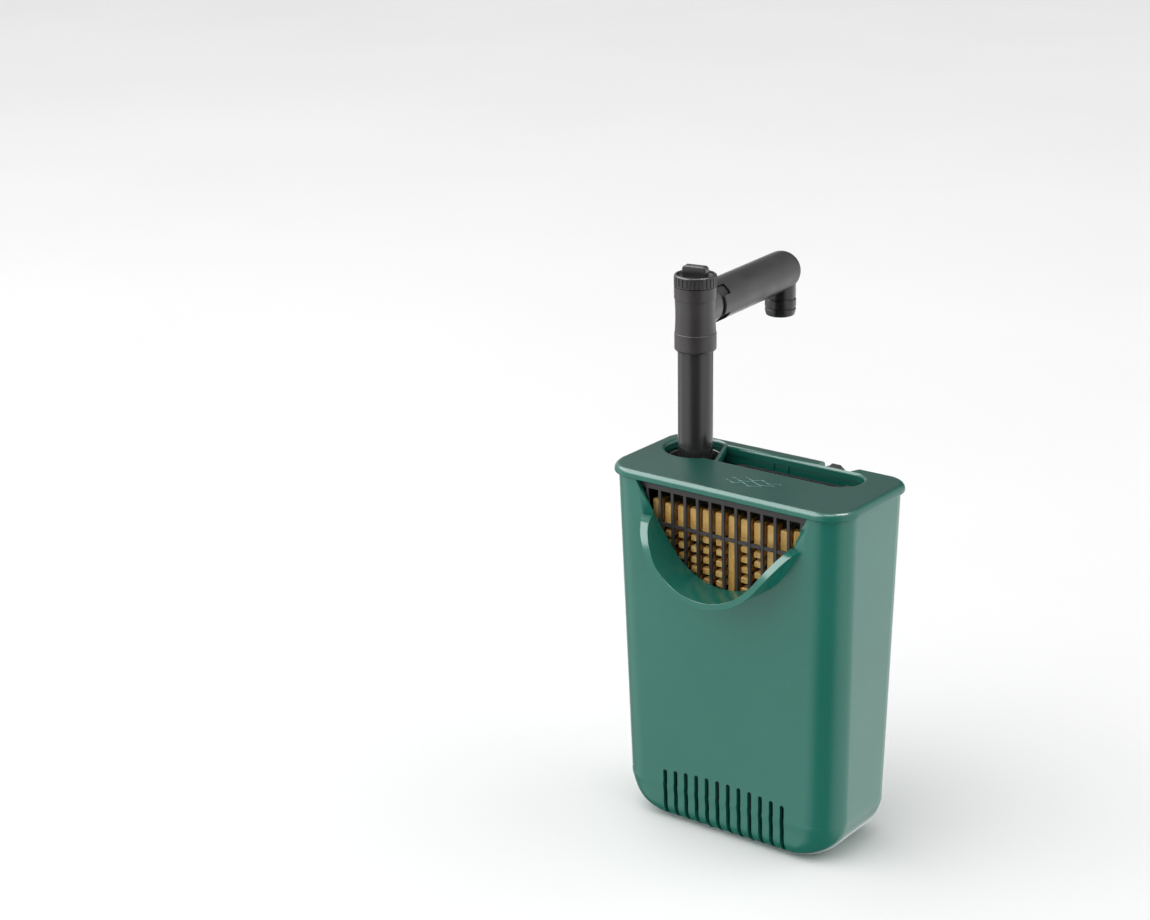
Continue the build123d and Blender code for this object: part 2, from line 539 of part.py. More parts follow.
def make_volute():
    """Impeller chamber whose outlet rises under the riser, with a screen over its eye."""
    with BuildPart() as volute:
        with BuildSketch(Plane.YZ.offset(CHAMBER_LEFT)):
            with Locations((PUMP_Y, PUMP_Z)):
                Circle(CHAMBER_RADIUS + 2.4)
        extrude(amount=CHAMBER_RIGHT - CHAMBER_LEFT - 0.1)
        with BuildSketch(Plane.XY.offset(PUMP_Z)):
            with Locations((RISER_X, RISER_Y)):
                Circle(SOCKET_RADIUS - 2.2)
        extrude(amount=VOLUTE_HEAD - PUMP_Z)
        with BuildSketch(Plane.YZ.offset(CHAMBER_LEFT + 2.0)):
            with Locations((PUMP_Y, PUMP_Z)):
                Circle(CHAMBER_RADIUS)
        extrude(amount=20, mode=Mode.SUBTRACT)
        with BuildSketch(Plane.XY.offset(PUMP_Z)):
            with Locations((RISER_X, RISER_Y)):
                Circle(OUTLET_BORE)
        extrude(amount=VOLUTE_HEAD - PUMP_Z + 1, mode=Mode.SUBTRACT)
        with BuildSketch(Plane.YZ.offset(CHAMBER_LEFT - 1)):
            with Locations((PUMP_Y, PUMP_Z)):
                Circle(6.5)
                with PolarLocations(0, 3):
                    Rectangle(14, 1.8, mode=Mode.SUBTRACT)
                Circle(2.6, mode=Mode.SUBTRACT)
        extrude(amount=5, mode=Mode.SUBTRACT)
        with BuildSketch(Plane.YZ.offset(CHAMBER_LEFT - 1)):
            with Locations((PUMP_Y, PUMP_Z)):
                Circle(1.9)
        extrude(amount=5, mode=Mode.SUBTRACT)
        for along, up in screw_places():
            with BuildSketch(Plane.YZ.offset(CHAMBER_RIGHT - 3.1)):
                with Locations((along, up)):
                    Circle(3.4)
                with Locations((PUMP_Y, PUMP_Z)):
                    Circle(CHAMBER_RADIUS + 1, mode=Mode.SUBTRACT)
                with Locations((along, up)):
                    Circle(1.5, mode=Mode.SUBTRACT)
            extrude(amount=3.0)
    save(volute.part, "volute_cover")
    with BuildPart() as screen:
        with BuildSketch(Plane.YZ.offset(CHAMBER_LEFT - 4.2)):
            with Locations((PUMP_Y, PUMP_Z)):
                Circle(12)
        extrude(amount=4.1)
        with BuildSketch(Plane.YZ.offset(CHAMBER_LEFT - 3.0)):
            with Locations((PUMP_Y, PUMP_Z)):
                Circle(10.8)
        extrude(amount=4, mode=Mode.SUBTRACT)
        with BuildSketch(Plane.YZ.offset(CHAMBER_LEFT - 5)):
            for row in range(-3, 4):
                with Locations((PUMP_Y, PUMP_Z + 2.8 * row)):
                    SlotOverall(2 * sqrt(81 - (2.8 * row) ** 2), 1.4)
        extrude(amount=3, mode=Mode.SUBTRACT)
    save(screen.part, "intake_screen")


def make_rotor():
    """Impeller, its magnet, the fixed shaft and the rubber bushes that hold it."""
    with BuildPart() as impeller:
        with BuildSketch(Plane.YZ.offset(IMPELLER_LEFT)):
            with Locations((PUMP_Y, PUMP_Z)):
                Circle(3.6)
                with PolarLocations(6.6, 6):
                    Rectangle(8.0, 1.3)
        extrude(amount=8)
        with BuildSketch(Plane.YZ.offset(IMPELLER_LEFT + 8)):
            with Locations((PUMP_Y, PUMP_Z)):
                Circle(6.8)
        extrude(amount=3.0)
        with BuildSketch(Plane.YZ.offset(IMPELLER_LEFT - 1)):
            with Locations((PUMP_Y, PUMP_Z)):
                Circle(SHAFT_RADIUS + FIT)
        extrude(amount=20, mode=Mode.SUBTRACT)
    save(impeller.part, "impeller")
    magnet_left = IMPELLER_LEFT + 11
    save(ring(magnet_left, ROTOR_CAN_RIGHT - 4.5, SHAFT_RADIUS + FIT, 7.0, PUMP_SECTION, PUMP_AXIS),
         "rotor_magnet")
    with BuildPart() as shaft:
        with BuildSketch(Plane.YZ.offset(CHAMBER_LEFT + 0.4)):
            with Locations((PUMP_Y, PUMP_Z)):
                Circle(SHAFT_RADIUS)
        extrude(amount=ROTOR_CAN_RIGHT - 1.4 - CHAMBER_LEFT - 0.4)
        chamfer(shaft.faces().filter_by(Plane.YZ).edges(), 0.2)
    save(shaft.part, "impeller_shaft")
    left = ring(CHAMBER_LEFT + 0.2, CHAMBER_LEFT + 3.4, SHAFT_RADIUS, 1.85, PUMP_SECTION, PUMP_AXIS)
    right = ring(ROTOR_CAN_RIGHT - 3.4, ROTOR_CAN_RIGHT - 1.3, SHAFT_RADIUS, 3.0, PUMP_SECTION, PUMP_AXIS)
    save(Compound(children=[left, right]), "shaft_bushes")


def make_pump_hardware():
    """Screws that close the volute, and the rubber feet that keep the pump quiet."""
    with BuildPart() as screws:
        for along, up in screw_places():
            with BuildSketch(Plane.YZ.offset(CHAMBER_RIGHT - 3.2)):
                with Locations((along, up)):
                    Circle(1.25)
            extrude(amount=5.2)
            with BuildSketch(Plane.YZ.offset(CHAMBER_RIGHT - 5.2)):
                with Locations((along, up)):
                    Circle(2.4)
                    with PolarLocations(0, 2):
                        Rectangle(2.6, 0.7, mode=Mode.SUBTRACT)
            extrude(amount=2.0)
    save(screws.part, "cover_screws")
    with BuildPart() as feet:
        with BuildSketch(Plane.XY.offset(WALL + 0.05)):
            with Locations((-24, PUMP_Y - 10), (-24, PUMP_Y + 10), (6, PUMP_Y - 10), (6, PUMP_Y + 10)):
                Circle(4.2)
        extrude(amount=PUMP_Z - 19 - WALL - 0.05, taper=6)
    save(feet.part, "pump_feet")


# ---------------------------------------------------------------- riser
def make_socket():
    """Long sleeve on the pump's outlet that guides the riser and flares out under the lid."""
    with BuildPart() as socket:
        with BuildSketch(RISER_SECTION):
            with BuildLine():
                bore, wall = RISER_RADIUS + FIT, SOCKET_RADIUS
                Polyline((bore, 64), (bore, 89), (bore + 1.2, 89), (bore + 1.2, 91.4), (bore, 91.4),
                         (bore, FLARE_TOP - 14), (FLARE_RADIUS - 1.2, FLARE_TOP), (FLARE_RADIUS, FLARE_TOP),
                         (FLARE_RADIUS, FLARE_TOP - 5), (wall, FLARE_TOP - 15), (wall, 46.5),
                         (SOCKET_RADIUS - 2.1, 46.5), (SOCKET_RADIUS - 2.1, 60.2), (6.4, 60.2),
                         (6.4, 64), close=True)
            make_face()
        revolve(axis=RISER_AXIS)
    save(socket.part, "outlet_socket")
    save(ring(89.1, 91.3, RISER_RADIUS + 0.04, RISER_RADIUS + FIT + 1.1), "socket_seal")


def make_riser():
    """Plain glossy tube from the pump's socket up into the tee."""
    with BuildPart() as riser:
        with BuildSketch(Plane.XY.offset(RISER_FOOT)):
            with Locations((RISER_X, RISER_Y)):
                Circle(RISER_RADIUS)
                Circle(RISER_BORE, mode=Mode.SUBTRACT)
        extrude(amount=RISER_TOP - RISER_FOOT)
        chamfer(riser.faces().filter_by(Plane.XY).edges(), 0.4)
    save(riser.part, "riser_tube")


# ---------------------------------------------------------------- tee, knob and arm
def make_tee():
    """Branch fitting that turns on the riser, with its collar and O-ring."""
    bore, chamber = RISER_RADIUS + FIT, BARREL_RADIUS + FIT
    with BuildPart() as tee:
        with BuildSketch(RISER_SECTION):
            with BuildLine():
                waist = Spline((TEE_RADIUS, TEE_FOOT), (TEE_RADIUS - 0.3, 237), (TEE_RADIUS, TEE_STEP - 0.4))
                Polyline(waist @ 1, (9.85, TEE_STEP), (9.85, TEE_TOP), (NECK_RADIUS, TEE_TOP),
                         (NECK_RADIUS, TEE_HEAD), (chamber, TEE_HEAD), (chamber, TEE_FLOOR),
                         (bore, TEE_FLOOR), (bore, TEE_FOOT), waist @ 0)
            make_face()
        revolve(axis=RISER_AXIS)
        with BuildSketch(ARM_SECTION):
            with BuildLine():
                floor = SPIGOT_RADIUS - 0.5
                Polyline((0, 0), (0, BOSS_RADIUS), (BOSS_END, BOSS_RADIUS), (BOSS_END, SPIGOT_RADIUS),
                         (ARM_SEAL_LEFT, SPIGOT_RADIUS),
                         (ARM_SEAL_LEFT, floor), (ARM_SEAL_RIGHT, floor), (ARM_SEAL_RIGHT, SPIGOT_RADIUS),
                         (SPIGOT_END, SPIGOT_RADIUS), (SPIGOT_END, 0), close=True)
            make_face()
        revolve(axis=ARM_AXIS)
        with BuildSketch(ARM_SECTION):
            with Locations((25, 3.2)):
                Rectangle(50, 6.4)
        revolve(axis=ARM_AXIS, mode=Mode.SUBTRACT)
        with BuildSketch(Plane.XY.offset(TEE_FLOOR)):
            with Locations((RISER_X, RISER_Y)):
                Circle(chamber)
        extrude(amount=30, mode=Mode.SUBTRACT)
        with BuildSketch(Plane.XY.offset(TEE_FOOT)):
            with Locations((RISER_X, RISER_Y)):
                Circle(bore)
        extrude(amount=TEE_FLOOR - TEE_FOOT, mode=Mode.SUBTRACT)
    save(tee.part, "tee_body")
    with BuildPart() as collar:
        with BuildSketch(RISER_SECTION):
            with BuildLine():
                Polyline((bore, COLLAR_FOOT), (9.0, COLLAR_FOOT), (9.75, COLLAR_FOOT + 0.9),
                         (9.75, TEE_FOOT - 0.3), (9.45, TEE_FOOT - 0.05), (bore + 1.0, TEE_FOOT - 0.05),
                         (bore + 1.0, 225.4), (bore, 225.4), close=True)
            make_face()
        revolve(axis=RISER_AXIS)
    save(collar.part, "tee_collar")
    save(ring(225.6, TEE_FOOT - 0.2, RISER_RADIUS + 0.04, bore + 0.9), "tee_seal")


def make_knob():
    """Diverter: a knurled ring and a finger tab that turn a ported barrel inside the tee."""
    with BuildPart() as cap:
        with BuildSketch(RISER_SECTION):
            with BuildLine():
                shoulder = CenterArc((CAP_RADIUS - CAP_ROUND, CAP_HEAD - CAP_ROUND), CAP_ROUND, 0, 90)
                Polyline(shoulder @ 1, (RECESS_RADIUS, CAP_HEAD), (RECESS_RADIUS - 0.2, RECESS_FLOOR),
                         (HUB_RADIUS, RECESS_FLOOR), (HUB_RADIUS, KNOB_FOOT), (NECK_RADIUS + FIT, KNOB_FOOT),
                         (NECK_RADIUS + FIT, TEE_TOP + 0.3), (CAP_RADIUS, TEE_TOP + 0.3), shoulder @ 0)
            make_face()
        revolve(axis=RISER_AXIS)
        with BuildSketch(Plane.XY.offset(KNURL_FOOT)):
            with Locations((RISER_X, RISER_Y)):
                with PolarLocations(CAP_RADIUS + 0.3, KNURLS):
                    Circle(KNURL_RADIUS)
        extrude(amount=KNURL_LENGTH, mode=Mode.SUBTRACT)
    save(cap.part, "cap_ring")
    tab_section = Plane(
        origin=(RISER_X, RISER_Y, 0), x_dir=(cos(radians(TAB_TURN)), sin(radians(TAB_TURN)), 0),
        z_dir=(sin(radians(TAB_TURN)), -cos(radians(TAB_TURN)), 0))
    with BuildPart() as knob:
        with BuildSketch(tab_section):
            with Locations((0, TAB_FOOT + TAB_HEIGHT / 2)):
                RectangleRounded(TAB_LENGTH, TAB_HEIGHT, TAB_ROUND)
        extrude(amount=TAB_THICKNESS / 2, both=True)
        fillet(knob.faces().sort_by(SortBy.AREA)[-2:].edges(), TAB_EDGE_ROUND)
        with BuildSketch(tab_section):
            with Locations((0, (KNOB_FOOT + TAB_FOOT + 1) / 2)):
                Rectangle(STEM_LENGTH, TAB_FOOT + 1 - KNOB_FOOT)
        extrude(amount=TAB_THICKNESS / 2, both=True)
        with BuildSketch(Plane.XY.offset(KNOB_FOOT)):
            with Locations((RISER_X, RISER_Y)):
                Circle(HUB_RADIUS - 0.05)
        extrude(amount=HUB_HEIGHT)
    save(knob.part, "diverter_knob")
    with BuildPart() as barrel:
        with BuildSketch(RISER_SECTION):
            with BuildLine():
                Polyline((5.8, BARREL_FOOT), (BARREL_RADIUS, BARREL_FOOT), (BARREL_RADIUS, 249.4),
                         (BARREL_RADIUS - 0.9, 249.4), (BARREL_RADIUS - 0.9, 251.2),
                         (BARREL_RADIUS, 251.2), (BARREL_RADIUS, BARREL_HEAD), (0, BARREL_HEAD), (0, 251.6),
                         (5.8, 251.6), close=True)
            make_face()
        revolve(axis=RISER_AXIS)
        with BuildSketch(ARM_SECTION):
            with Locations((6, 2.9)):
                Rectangle(12, 5.8)
        revolve(axis=ARM_AXIS, mode=Mode.SUBTRACT)
    save(barrel.part, "diverter_barrel")
    save(ring(249.5, 251.1, BARREL_RADIUS - 0.85, BARREL_RADIUS + 0.03), "knob_seal")


def make_arm():
    """Sleeve with a castellated end and a domed tip, and the hose nozzle under the tip."""
    inner = SPIGOT_RADIUS + FIT
    with BuildPart() as arm:
        with BuildSketch(ARM_SECTION):
            with BuildLine():
                dome = CenterArc((ARM_REACH, 0), ARM_RADIUS, 0, 90)
                hollow = CenterArc((ARM_REACH, 0), ARM_RADIUS - 1.5, 0, 90)
                Polyline(dome @ 1, (ARM_START + 0.5, ARM_RADIUS), (ARM_START, ARM_RADIUS - 0.5),
                         (ARM_START, inner), (SPIGOT_END + 1, inner),
                         (SPIGOT_END + 1, ARM_RADIUS - 1.5), hollow @ 1)
                Line(hollow @ 0, dome @ 0)
            make_face()
        revolve(axis=ARM_AXIS)
        notch_plane = Plane(origin=ARM_AXIS.position, x_dir=(0, 0, 1), z_dir=ARM_DIRECTION)
        with BuildSketch(notch_plane.offset(ARM_START - 1)):
            with PolarLocations(ARM_RADIUS, NOTCHES, start_angle=NOTCH_TURN):
                Rectangle(6, NOTCH_WIDTH)
        extrude(amount=NOTCH_DEPTH + 1, mode=Mode.SUBTRACT)
        with BuildSketch(Plane.XY.offset(ARM_HEIGHT)):
            with Locations((NOZZLE_X, NOZZLE_Y)):
                Circle(NOZZLE_RADIUS + 0.02)
        extrude(amount=-ARM_RADIUS - 2, mode=Mode.SUBTRACT)
    save(arm.part, "arm_tube")
    seal = ring(ARM_SEAL_LEFT + 0.1, ARM_SEAL_RIGHT - 0.1, SPIGOT_RADIUS - 0.45, inner - 0.03,
                ARM_SECTION, ARM_AXIS)
    save(seal, "arm_seal")
    nozzle_section = Plane(origin=(NOZZLE_X, NOZZLE_Y, 0), x_dir=(1, 0, 0), z_dir=(0, -1, 0))
    with BuildPart() as nozzle:
        with BuildSketch(nozzle_section):
            with BuildLine():
                wall, groove = NOZZLE_RADIUS, NOZZLE_RADIUS - 0.45
                outline = [(NOZZLE_BORE, NOZZLE_FOOT), (wall - 0.9, NOZZLE_FOOT), (wall, NOZZLE_FOOT + 1.2)]
                for above in NOZZLE_GROOVES:
                    level = NOZZLE_FOOT + above
                    outline += [(wall, level), (groove, level + 0.3)]
                    outline += [(groove, level + 0.6), (wall, level + 0.9)]
                Polyline(*outline, (wall, NOZZLE_HEAD), (NOZZLE_BORE, NOZZLE_HEAD), close=True)
            make_face()
        revolve(axis=Axis((NOZZLE_X, NOZZLE_Y, 0), (0, 0, 1)))
    save(nozzle.part, "nozzle")


# ---------------------------------------------------------------- what hangs on the casing
def make_suction_cups():
    """Four cups whose pegs push through the back wall."""
    cups = []
    for x in CUP_X:
        for z in CUP_Z:
            wall_face = half_depth(z)
            head = wall_face - WALL - 0.25
            section = Plane(origin=(x, 0, z), x_dir=(0, 1, 0), z_dir=(-1, 0, 0))
            with BuildPart() as cup:
                with BuildSketch(section):
                    with BuildLine():
                        Polyline((head - 2.8, 0), (head - 2.8, 1.6), (head, 4.3), (head, CUP_PEG_RADIUS),
                                 (wall_face + 0.3, CUP_PEG_RADIUS), (wall_face + 0.3, 5.6),
                                 (wall_face + 6.5, 5.6), (CUP_FACE - 3.6, 8.8), (CUP_FACE, 14.0),
                                 (CUP_FACE, 12.6), (CUP_FACE - 2.6, 7.6), (CUP_FACE - 3.3, 0), close=True)
                    make_face()
                revolve(axis=Axis((x, 0, z), (0, 1, 0)))
            cups.append(cup.part)
    save(Compound(children=cups), "suction_cups")


def make_cord_grommet():
    """Rubber gland clipped over the rear wall, with a hole for the mains lead."""
    wall_face = half_depth(CASE_HEIGHT)
    foot = CASE_HEIGHT - CORD_SEAT_DEPTH
    with BuildPart() as grommet:
        with BuildSketch(Plane.XZ.offset(-wall_face + WALL + 1.5)):
            with BuildLine():
                half = CORD_SEAT_WIDTH / 2 + 0.1
                bowl = ThreePointArc((half, foot + half), (0, foot + 0.2), (-half, foot + half))
                Polyline(bowl @ 1, (-half, 171.2), (half - 2.2, 171.2), (half, 169.6), bowl @ 0)
            make_face()
        extrude(amount=WALL + 3.0, dir=(0, 1, 0))
        with BuildSketch(Plane.XZ.offset(-wall_face + WALL + 0.05)) as groove:
            Rectangle(40, 800)
            with Locations((0, CASE_HEIGHT - CORD_SEAT_DEPTH + 20.4)):
                SlotOverall(39.4, CORD_SEAT_WIDTH - 0.4, rotation=90, mode=Mode.SUBTRACT)
        extrude(amount=WALL + 0.1, dir=(0, 1, 0), mode=Mode.SUBTRACT)
        with BuildSketch(Plane.XZ.offset(-10)):
            with Locations((0, CASE_HEIGHT - 3.4)):
                Circle(1.7)
        extrude(amount=40, dir=(0, 1, 0), mode=Mode.SUBTRACT)
    save(grommet.part.moved(Location((CORD_X, 0, 0))), "cord_grommet")


os.makedirs("parts", exist_ok=True)
make_casing()
make_lid()
make_front_grate()
make_bio_grid()
make_divider()
make_cartridge()
make_pump_housing()
make_stator()
make_volute()
make_rotor()
make_pump_hardware()
make_socket()
make_riser()
make_tee()
make_knob()
make_arm()
make_suction_cups()
make_cord_grommet()
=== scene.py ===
"""Looks of the internal power filter: materials, fine pieces, light and camera around the CAD frame."""
import json
import math
import random

import bmesh
import bpy
from mathutils import Matrix, Vector, noise
from mathutils.bvhtree import BVHTree
from mathutils.interpolate import poly_3d_calc


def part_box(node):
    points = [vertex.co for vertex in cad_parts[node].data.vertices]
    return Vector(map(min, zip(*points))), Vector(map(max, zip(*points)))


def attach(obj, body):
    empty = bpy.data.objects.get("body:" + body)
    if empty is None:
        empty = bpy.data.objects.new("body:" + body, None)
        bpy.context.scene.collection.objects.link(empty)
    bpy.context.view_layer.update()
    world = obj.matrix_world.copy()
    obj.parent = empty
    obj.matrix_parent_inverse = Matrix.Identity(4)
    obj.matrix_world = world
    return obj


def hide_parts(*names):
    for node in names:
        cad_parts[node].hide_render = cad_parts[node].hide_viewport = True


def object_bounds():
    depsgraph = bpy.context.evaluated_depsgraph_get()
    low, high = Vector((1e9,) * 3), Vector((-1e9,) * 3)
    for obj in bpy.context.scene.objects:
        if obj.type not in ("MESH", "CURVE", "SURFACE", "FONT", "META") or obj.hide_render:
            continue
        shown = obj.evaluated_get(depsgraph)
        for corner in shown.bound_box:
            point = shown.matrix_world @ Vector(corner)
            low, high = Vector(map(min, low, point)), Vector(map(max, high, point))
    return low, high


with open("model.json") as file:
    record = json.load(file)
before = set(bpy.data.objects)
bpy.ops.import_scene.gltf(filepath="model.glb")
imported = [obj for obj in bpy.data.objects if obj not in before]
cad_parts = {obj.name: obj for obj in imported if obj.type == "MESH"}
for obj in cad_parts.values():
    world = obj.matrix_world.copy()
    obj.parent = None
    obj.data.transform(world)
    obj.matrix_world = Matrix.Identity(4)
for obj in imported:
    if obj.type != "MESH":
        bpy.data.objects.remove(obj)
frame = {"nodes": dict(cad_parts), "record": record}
bpy.context.view_layer.update()
CAD_LOW, CAD_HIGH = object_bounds()
MM = 0.001
NODES = frame["nodes"]
SLOT_OF = {part["node"]: part["material_slot"] for part in frame["record"]["subparts"]}


# ---------------------------------------------------------------- node helpers
class Shader:
    """A Principled material whose nodes are added by short calls."""

    def __init__(self, name, **sockets):
        self.material = bpy.data.materials.new(name)
        self.material.use_nodes = True
        self.tree = self.material.node_tree
        self.surface = self.tree.nodes["Principled BSDF"]
        for socket, value in sockets.items():
            self.surface.inputs[socket.replace("_", " ")].default_value = value
        self.place = self.node("ShaderNodeTexCoord").outputs["Object"]

    def node(self, kind, inputs=None, **settings):
        """A new node with its settings and inputs; an input given as a socket is linked."""
        made = self.tree.nodes.new(kind)
        for key, value in settings.items():
            setattr(made, key, value)
        for key, value in (inputs or {}).items():
            if isinstance(value, bpy.types.NodeSocket):
                self.tree.links.new(value, made.inputs[key])
            else:
                made.inputs[key].default_value = value
        return made

    def noise(self, scale, detail=3.0, roughness=0.5, stretch=None):
        """Noise value at a scale in features per metre, stretched along the axes if asked."""
        place = self.place
        if stretch:
            place = self.node("ShaderNodeMapping", {"Vector": place, "Scale": stretch}).outputs[0]
        texture = self.node("ShaderNodeTexNoise", {
            "Vector": place, "Scale": scale, "Detail": detail, "Roughness": roughness})
        return texture.outputs["Fac"]

    def spread(self, value, low, high, start=0.35, stop=0.65):
        """The value mapped from start..stop to low..high, held at the ends."""
        return self.node("ShaderNodeMapRange", {
            "Value": value, "From Min": start, "From Max": stop, "To Min": low, "To Max": high}).outputs[0]

    def drift(self, scale, detail=3.0):
        """A noise that runs from 0 to 1."""
        return self.spread(self.noise(scale, detail), 0.0, 1.0)

    def mix(self, share, first, second):
        """Colour between two others."""
        made = self.node("ShaderNodeMix", data_type="RGBA")
        for index, value in ((0, share), (6, first), (7, second)):
            if isinstance(value, bpy.types.NodeSocket):
                self.tree.links.new(value, made.inputs[index])
            else:
                made.inputs[index].default_value = value
        return made.outputs[2]

    def bump(self, height, strength, distance, before=None):
        """A bump on top of another, with its height in metres."""
        inputs = {"Height": height, "Strength": strength, "Distance": distance}
        if before is not None:
            inputs["Normal"] = before
        return self.node("ShaderNodeBump", inputs).outputs["Normal"]

    def ripple(self):
        """The faint ripple that flow leaves on a moulded face."""
        return self.bump(self.noise(26.0, 2.0), 0.12, 0.0003)

    def grain(self, strength, before=None):
        """The fine grain of a moulded face."""
        return self.bump(self.noise(1400.0, 2.0), strength, 0.00012, before)

    def use(self, **sockets):
        """Links node outputs to the shader's sockets."""
        for socket, value in sockets.items():
            self.tree.links.new(value, self.surface.inputs[socket.replace("_", " ")])
        return self.material


def rgb(red, green, blue):
    """Colour with alpha from linear values."""
    return (red, green, blue, 1.0)


# ---------------------------------------------------------------- materials
def moulded(name, dark, light, roughness, grain=0.0, mottle=18.0, gloss_spread=0.06, specular=0.5):
    """Injection-moulded plastic: slow colour drift, uneven gloss, faint flow ripple and a fine grain."""
    shader = Shader(name, Specular_IOR_Level=specular)
    colour = shader.mix(shader.drift(mottle, 4.0), dark, light)
    gloss = shader.spread(shader.noise(55.0, 5.0), roughness - gloss_spread, roughness + gloss_spread)
    normal = shader.ripple()
    if grain:
        normal = shader.grain(grain, normal)
    return shader.use(Base_Color=colour, Roughness=gloss, Normal=normal)


DARK_TONES = rgb(0.034, 0.030, 0.032), rgb(0.046, 0.041, 0.043)
PLASTICS = [    # name, dark tone, light tone, roughness, and then as moulded() takes them
    ("green_shell", rgb(0.0105, 0.146, 0.106), rgb(0.0125, 0.156, 0.115), 0.19, 0.0, 18.0, 0.02),
    ("dark_plastic", *DARK_TONES, 0.36, 0.25, 60.0),
    ("black_plastic", rgb(0.010, 0.009, 0.010), rgb(0.016, 0.015, 0.016), 0.34, 0.12, 60.0),
    ("gloss_black", rgb(0.010, 0.009, 0.010), rgb(0.016, 0.014, 0.015), 0.15, 0.0, 60.0),
    ("gloss_sleeve", rgb(0.024, 0.022, 0.024), rgb(0.034, 0.031, 0.033), 0.20, 0.0, 60.0),
    ("grate_plastic", rgb(0.016, 0.014, 0.014), rgb(0.024, 0.021, 0.021), 0.38, 0.2, 60.0),
    ("knob_plastic", rgb(0.026, 0.024, 0.026), rgb(0.036, 0.033, 0.035), 0.27, 0.12, 60.0),
    ("arm_plastic", rgb(0.017, 0.016, 0.016), rgb(0.023, 0.021, 0.021), 0.36, 0.35, 60.0),
    ("white_plastic", rgb(0.66, 0.65, 0.61), rgb(0.78, 0.77, 0.74), 0.35, 0.1),
    ("magnet", rgb(0.020, 0.020, 0.022), rgb(0.045, 0.045, 0.048), 0.45, 0.5, 200.0),
    ("ceramic", rgb(0.72, 0.70, 0.65), rgb(0.82, 0.81, 0.77), 0.12, 0.0, 18.0, 0.03),
    ("rubber", rgb(0.011, 0.011, 0.011), rgb(0.020, 0.020, 0.020), 0.62, 0.4, 90.0, 0.06, 0.35),
]
LID_FLAT = 0.80, 0.98           # upward share of the normal from which the lid's top, painted darker as shade, begins and is full
LID_WEAR = 0.09                 # roughness that the top has over the sides
ARM_WAY = (-0.0698, 0.9976, 0.0)        # from the riser's axis along the arm
SPIGOT = 9.2 * MM, 9.5 * MM     # from the riser's axis: where the part of the tee that the sleeve hides begins, painted near-black there as shade


def green_lid():
    """The casing's green, painted darker on the flat top as shade where less light falls, and a little rougher
    (satin) there.
    """
    shader = Shader("green_lid")
    upward = shader.node("ShaderNodeSeparateXYZ", {
        "Vector": shader.node("ShaderNodeNewGeometry").outputs["Normal"]}).outputs["Z"]
    flat = shader.spread(upward, 0.0, 1.0, *LID_FLAT)
    drift = shader.drift(18.0, 4.0)
    side = shader.mix(drift, rgb(0.0090, 0.130, 0.094), rgb(0.0110, 0.142, 0.104))
    # painted shade: a darker copy of the green for the top, which takes less light than the sides
    top = shader.mix(drift, rgb(0.0050, 0.066, 0.049), rgb(0.0062, 0.077, 0.057))
    gloss = shader.spread(shader.noise(55.0, 5.0), 0.20, 0.25)
    satin = shader.node("ShaderNodeMath", {0: flat, 1: LID_WEAR, 2: gloss}, operation="MULTIPLY_ADD").outputs[0]
    normal = shader.ripple()
    return shader.use(Base_Color=shader.mix(flat, side, top), Roughness=satin, Normal=normal)


def tee_plastic():
    """The tee's plastic, with painted shade: near-black on the spigot that lies in the shadow of the arm's sleeve.
    """
    shader = Shader("tee_plastic", Specular_IOR_Level=0.5)
    foot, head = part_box("riser_tube")
    axis = (foot + head) / 2
    outward = shader.node("ShaderNodeVectorMath", {0: shader.place, 1: (axis.x, axis.y, 0)},
                          operation="SUBTRACT").outputs[0]
    reach = shader.node("ShaderNodeVectorMath", {0: outward, 1: ARM_WAY},
                        operation="DOT_PRODUCT").outputs["Value"]
    shaded_spigot = shader.spread(reach, 0.0, 1.0, *SPIGOT)
    colour = shader.mix(shader.drift(60.0, 4.0), *DARK_TONES)
    # painted shade: the spigot seen through the sleeve's notches is coloured near-black for the shadow there
    colour = shader.mix(shaded_spigot, colour, rgb(0.0015, 0.0015, 0.0015))
    gloss = shader.spread(shaded_spigot, 0.30, 0.75, 0.0, 1.0)
    return shader.use(Base_Color=colour, Roughness=gloss, Normal=shader.grain(0.25))


def gloss_tube():
    """Extruded tube: glossy, with faint lines along its length."""
    shader = Shader("gloss_tube", Specular_IOR_Level=0.5)
    lines = shader.noise(900.0, 2.0, stretch=(1.0, 1.0, 0.012))
    colour = shader.mix(shader.spread(lines, 0, 1), rgb(0.022, 0.020, 0.021), rgb(0.030, 0.028, 0.029))
    gloss = shader.spread(shader.noise(70.0), 0.11, 0.17)
    normal = shader.bump(lines, 0.12, 0.00008)
    return shader.use(Base_Color=colour, Roughness=gloss, Normal=normal)


def tan_media():
    """Waxy moulded media with fine pits, painted darker inside the pits as shade."""
    shader = Shader("tan_media", Subsurface_Weight=0.12, Subsurface_Scale=0.002, Roughness=0.5)
    shader.surface.inputs["Subsurface Radius"].default_value = (1.0, 0.6, 0.3)
    colour = shader.mix(shader.drift(160.0, 5.0), rgb(0.84, 0.48, 0.13), rgb(1.0, 0.66, 0.23))
    pits = shader.noise(1500.0, 4.0)
    # painted shade: darker colour in the low spots of the pits' bump
    colour = shader.mix(shader.spread(pits, 0.25, 0.0, 0.34, 0.46), colour, rgb(0.20, 0.10, 0.03))
    gloss = shader.spread(shader.noise(300.0), 0.22, 0.4)
    return shader.use(Base_Color=colour, Roughness=gloss, Normal=shader.bump(pits, 0.35, 0.0003))


def floss():
    """Matted polyester fibre."""
    shader = Shader("floss", Roughness=0.95, Sheen_Weight=0.4)
    strands = shader.noise(2600.0, 6.0, 0.7, stretch=(1.0, 1.0, 0.35))
    colour = shader.mix(shader.spread(strands, 0, 1), rgb(0.50, 0.55, 0.57), rgb(0.82, 0.86, 0.88))
    return shader.use(Base_Color=colour, Normal=shader.bump(strands, 0.9, 0.0008))


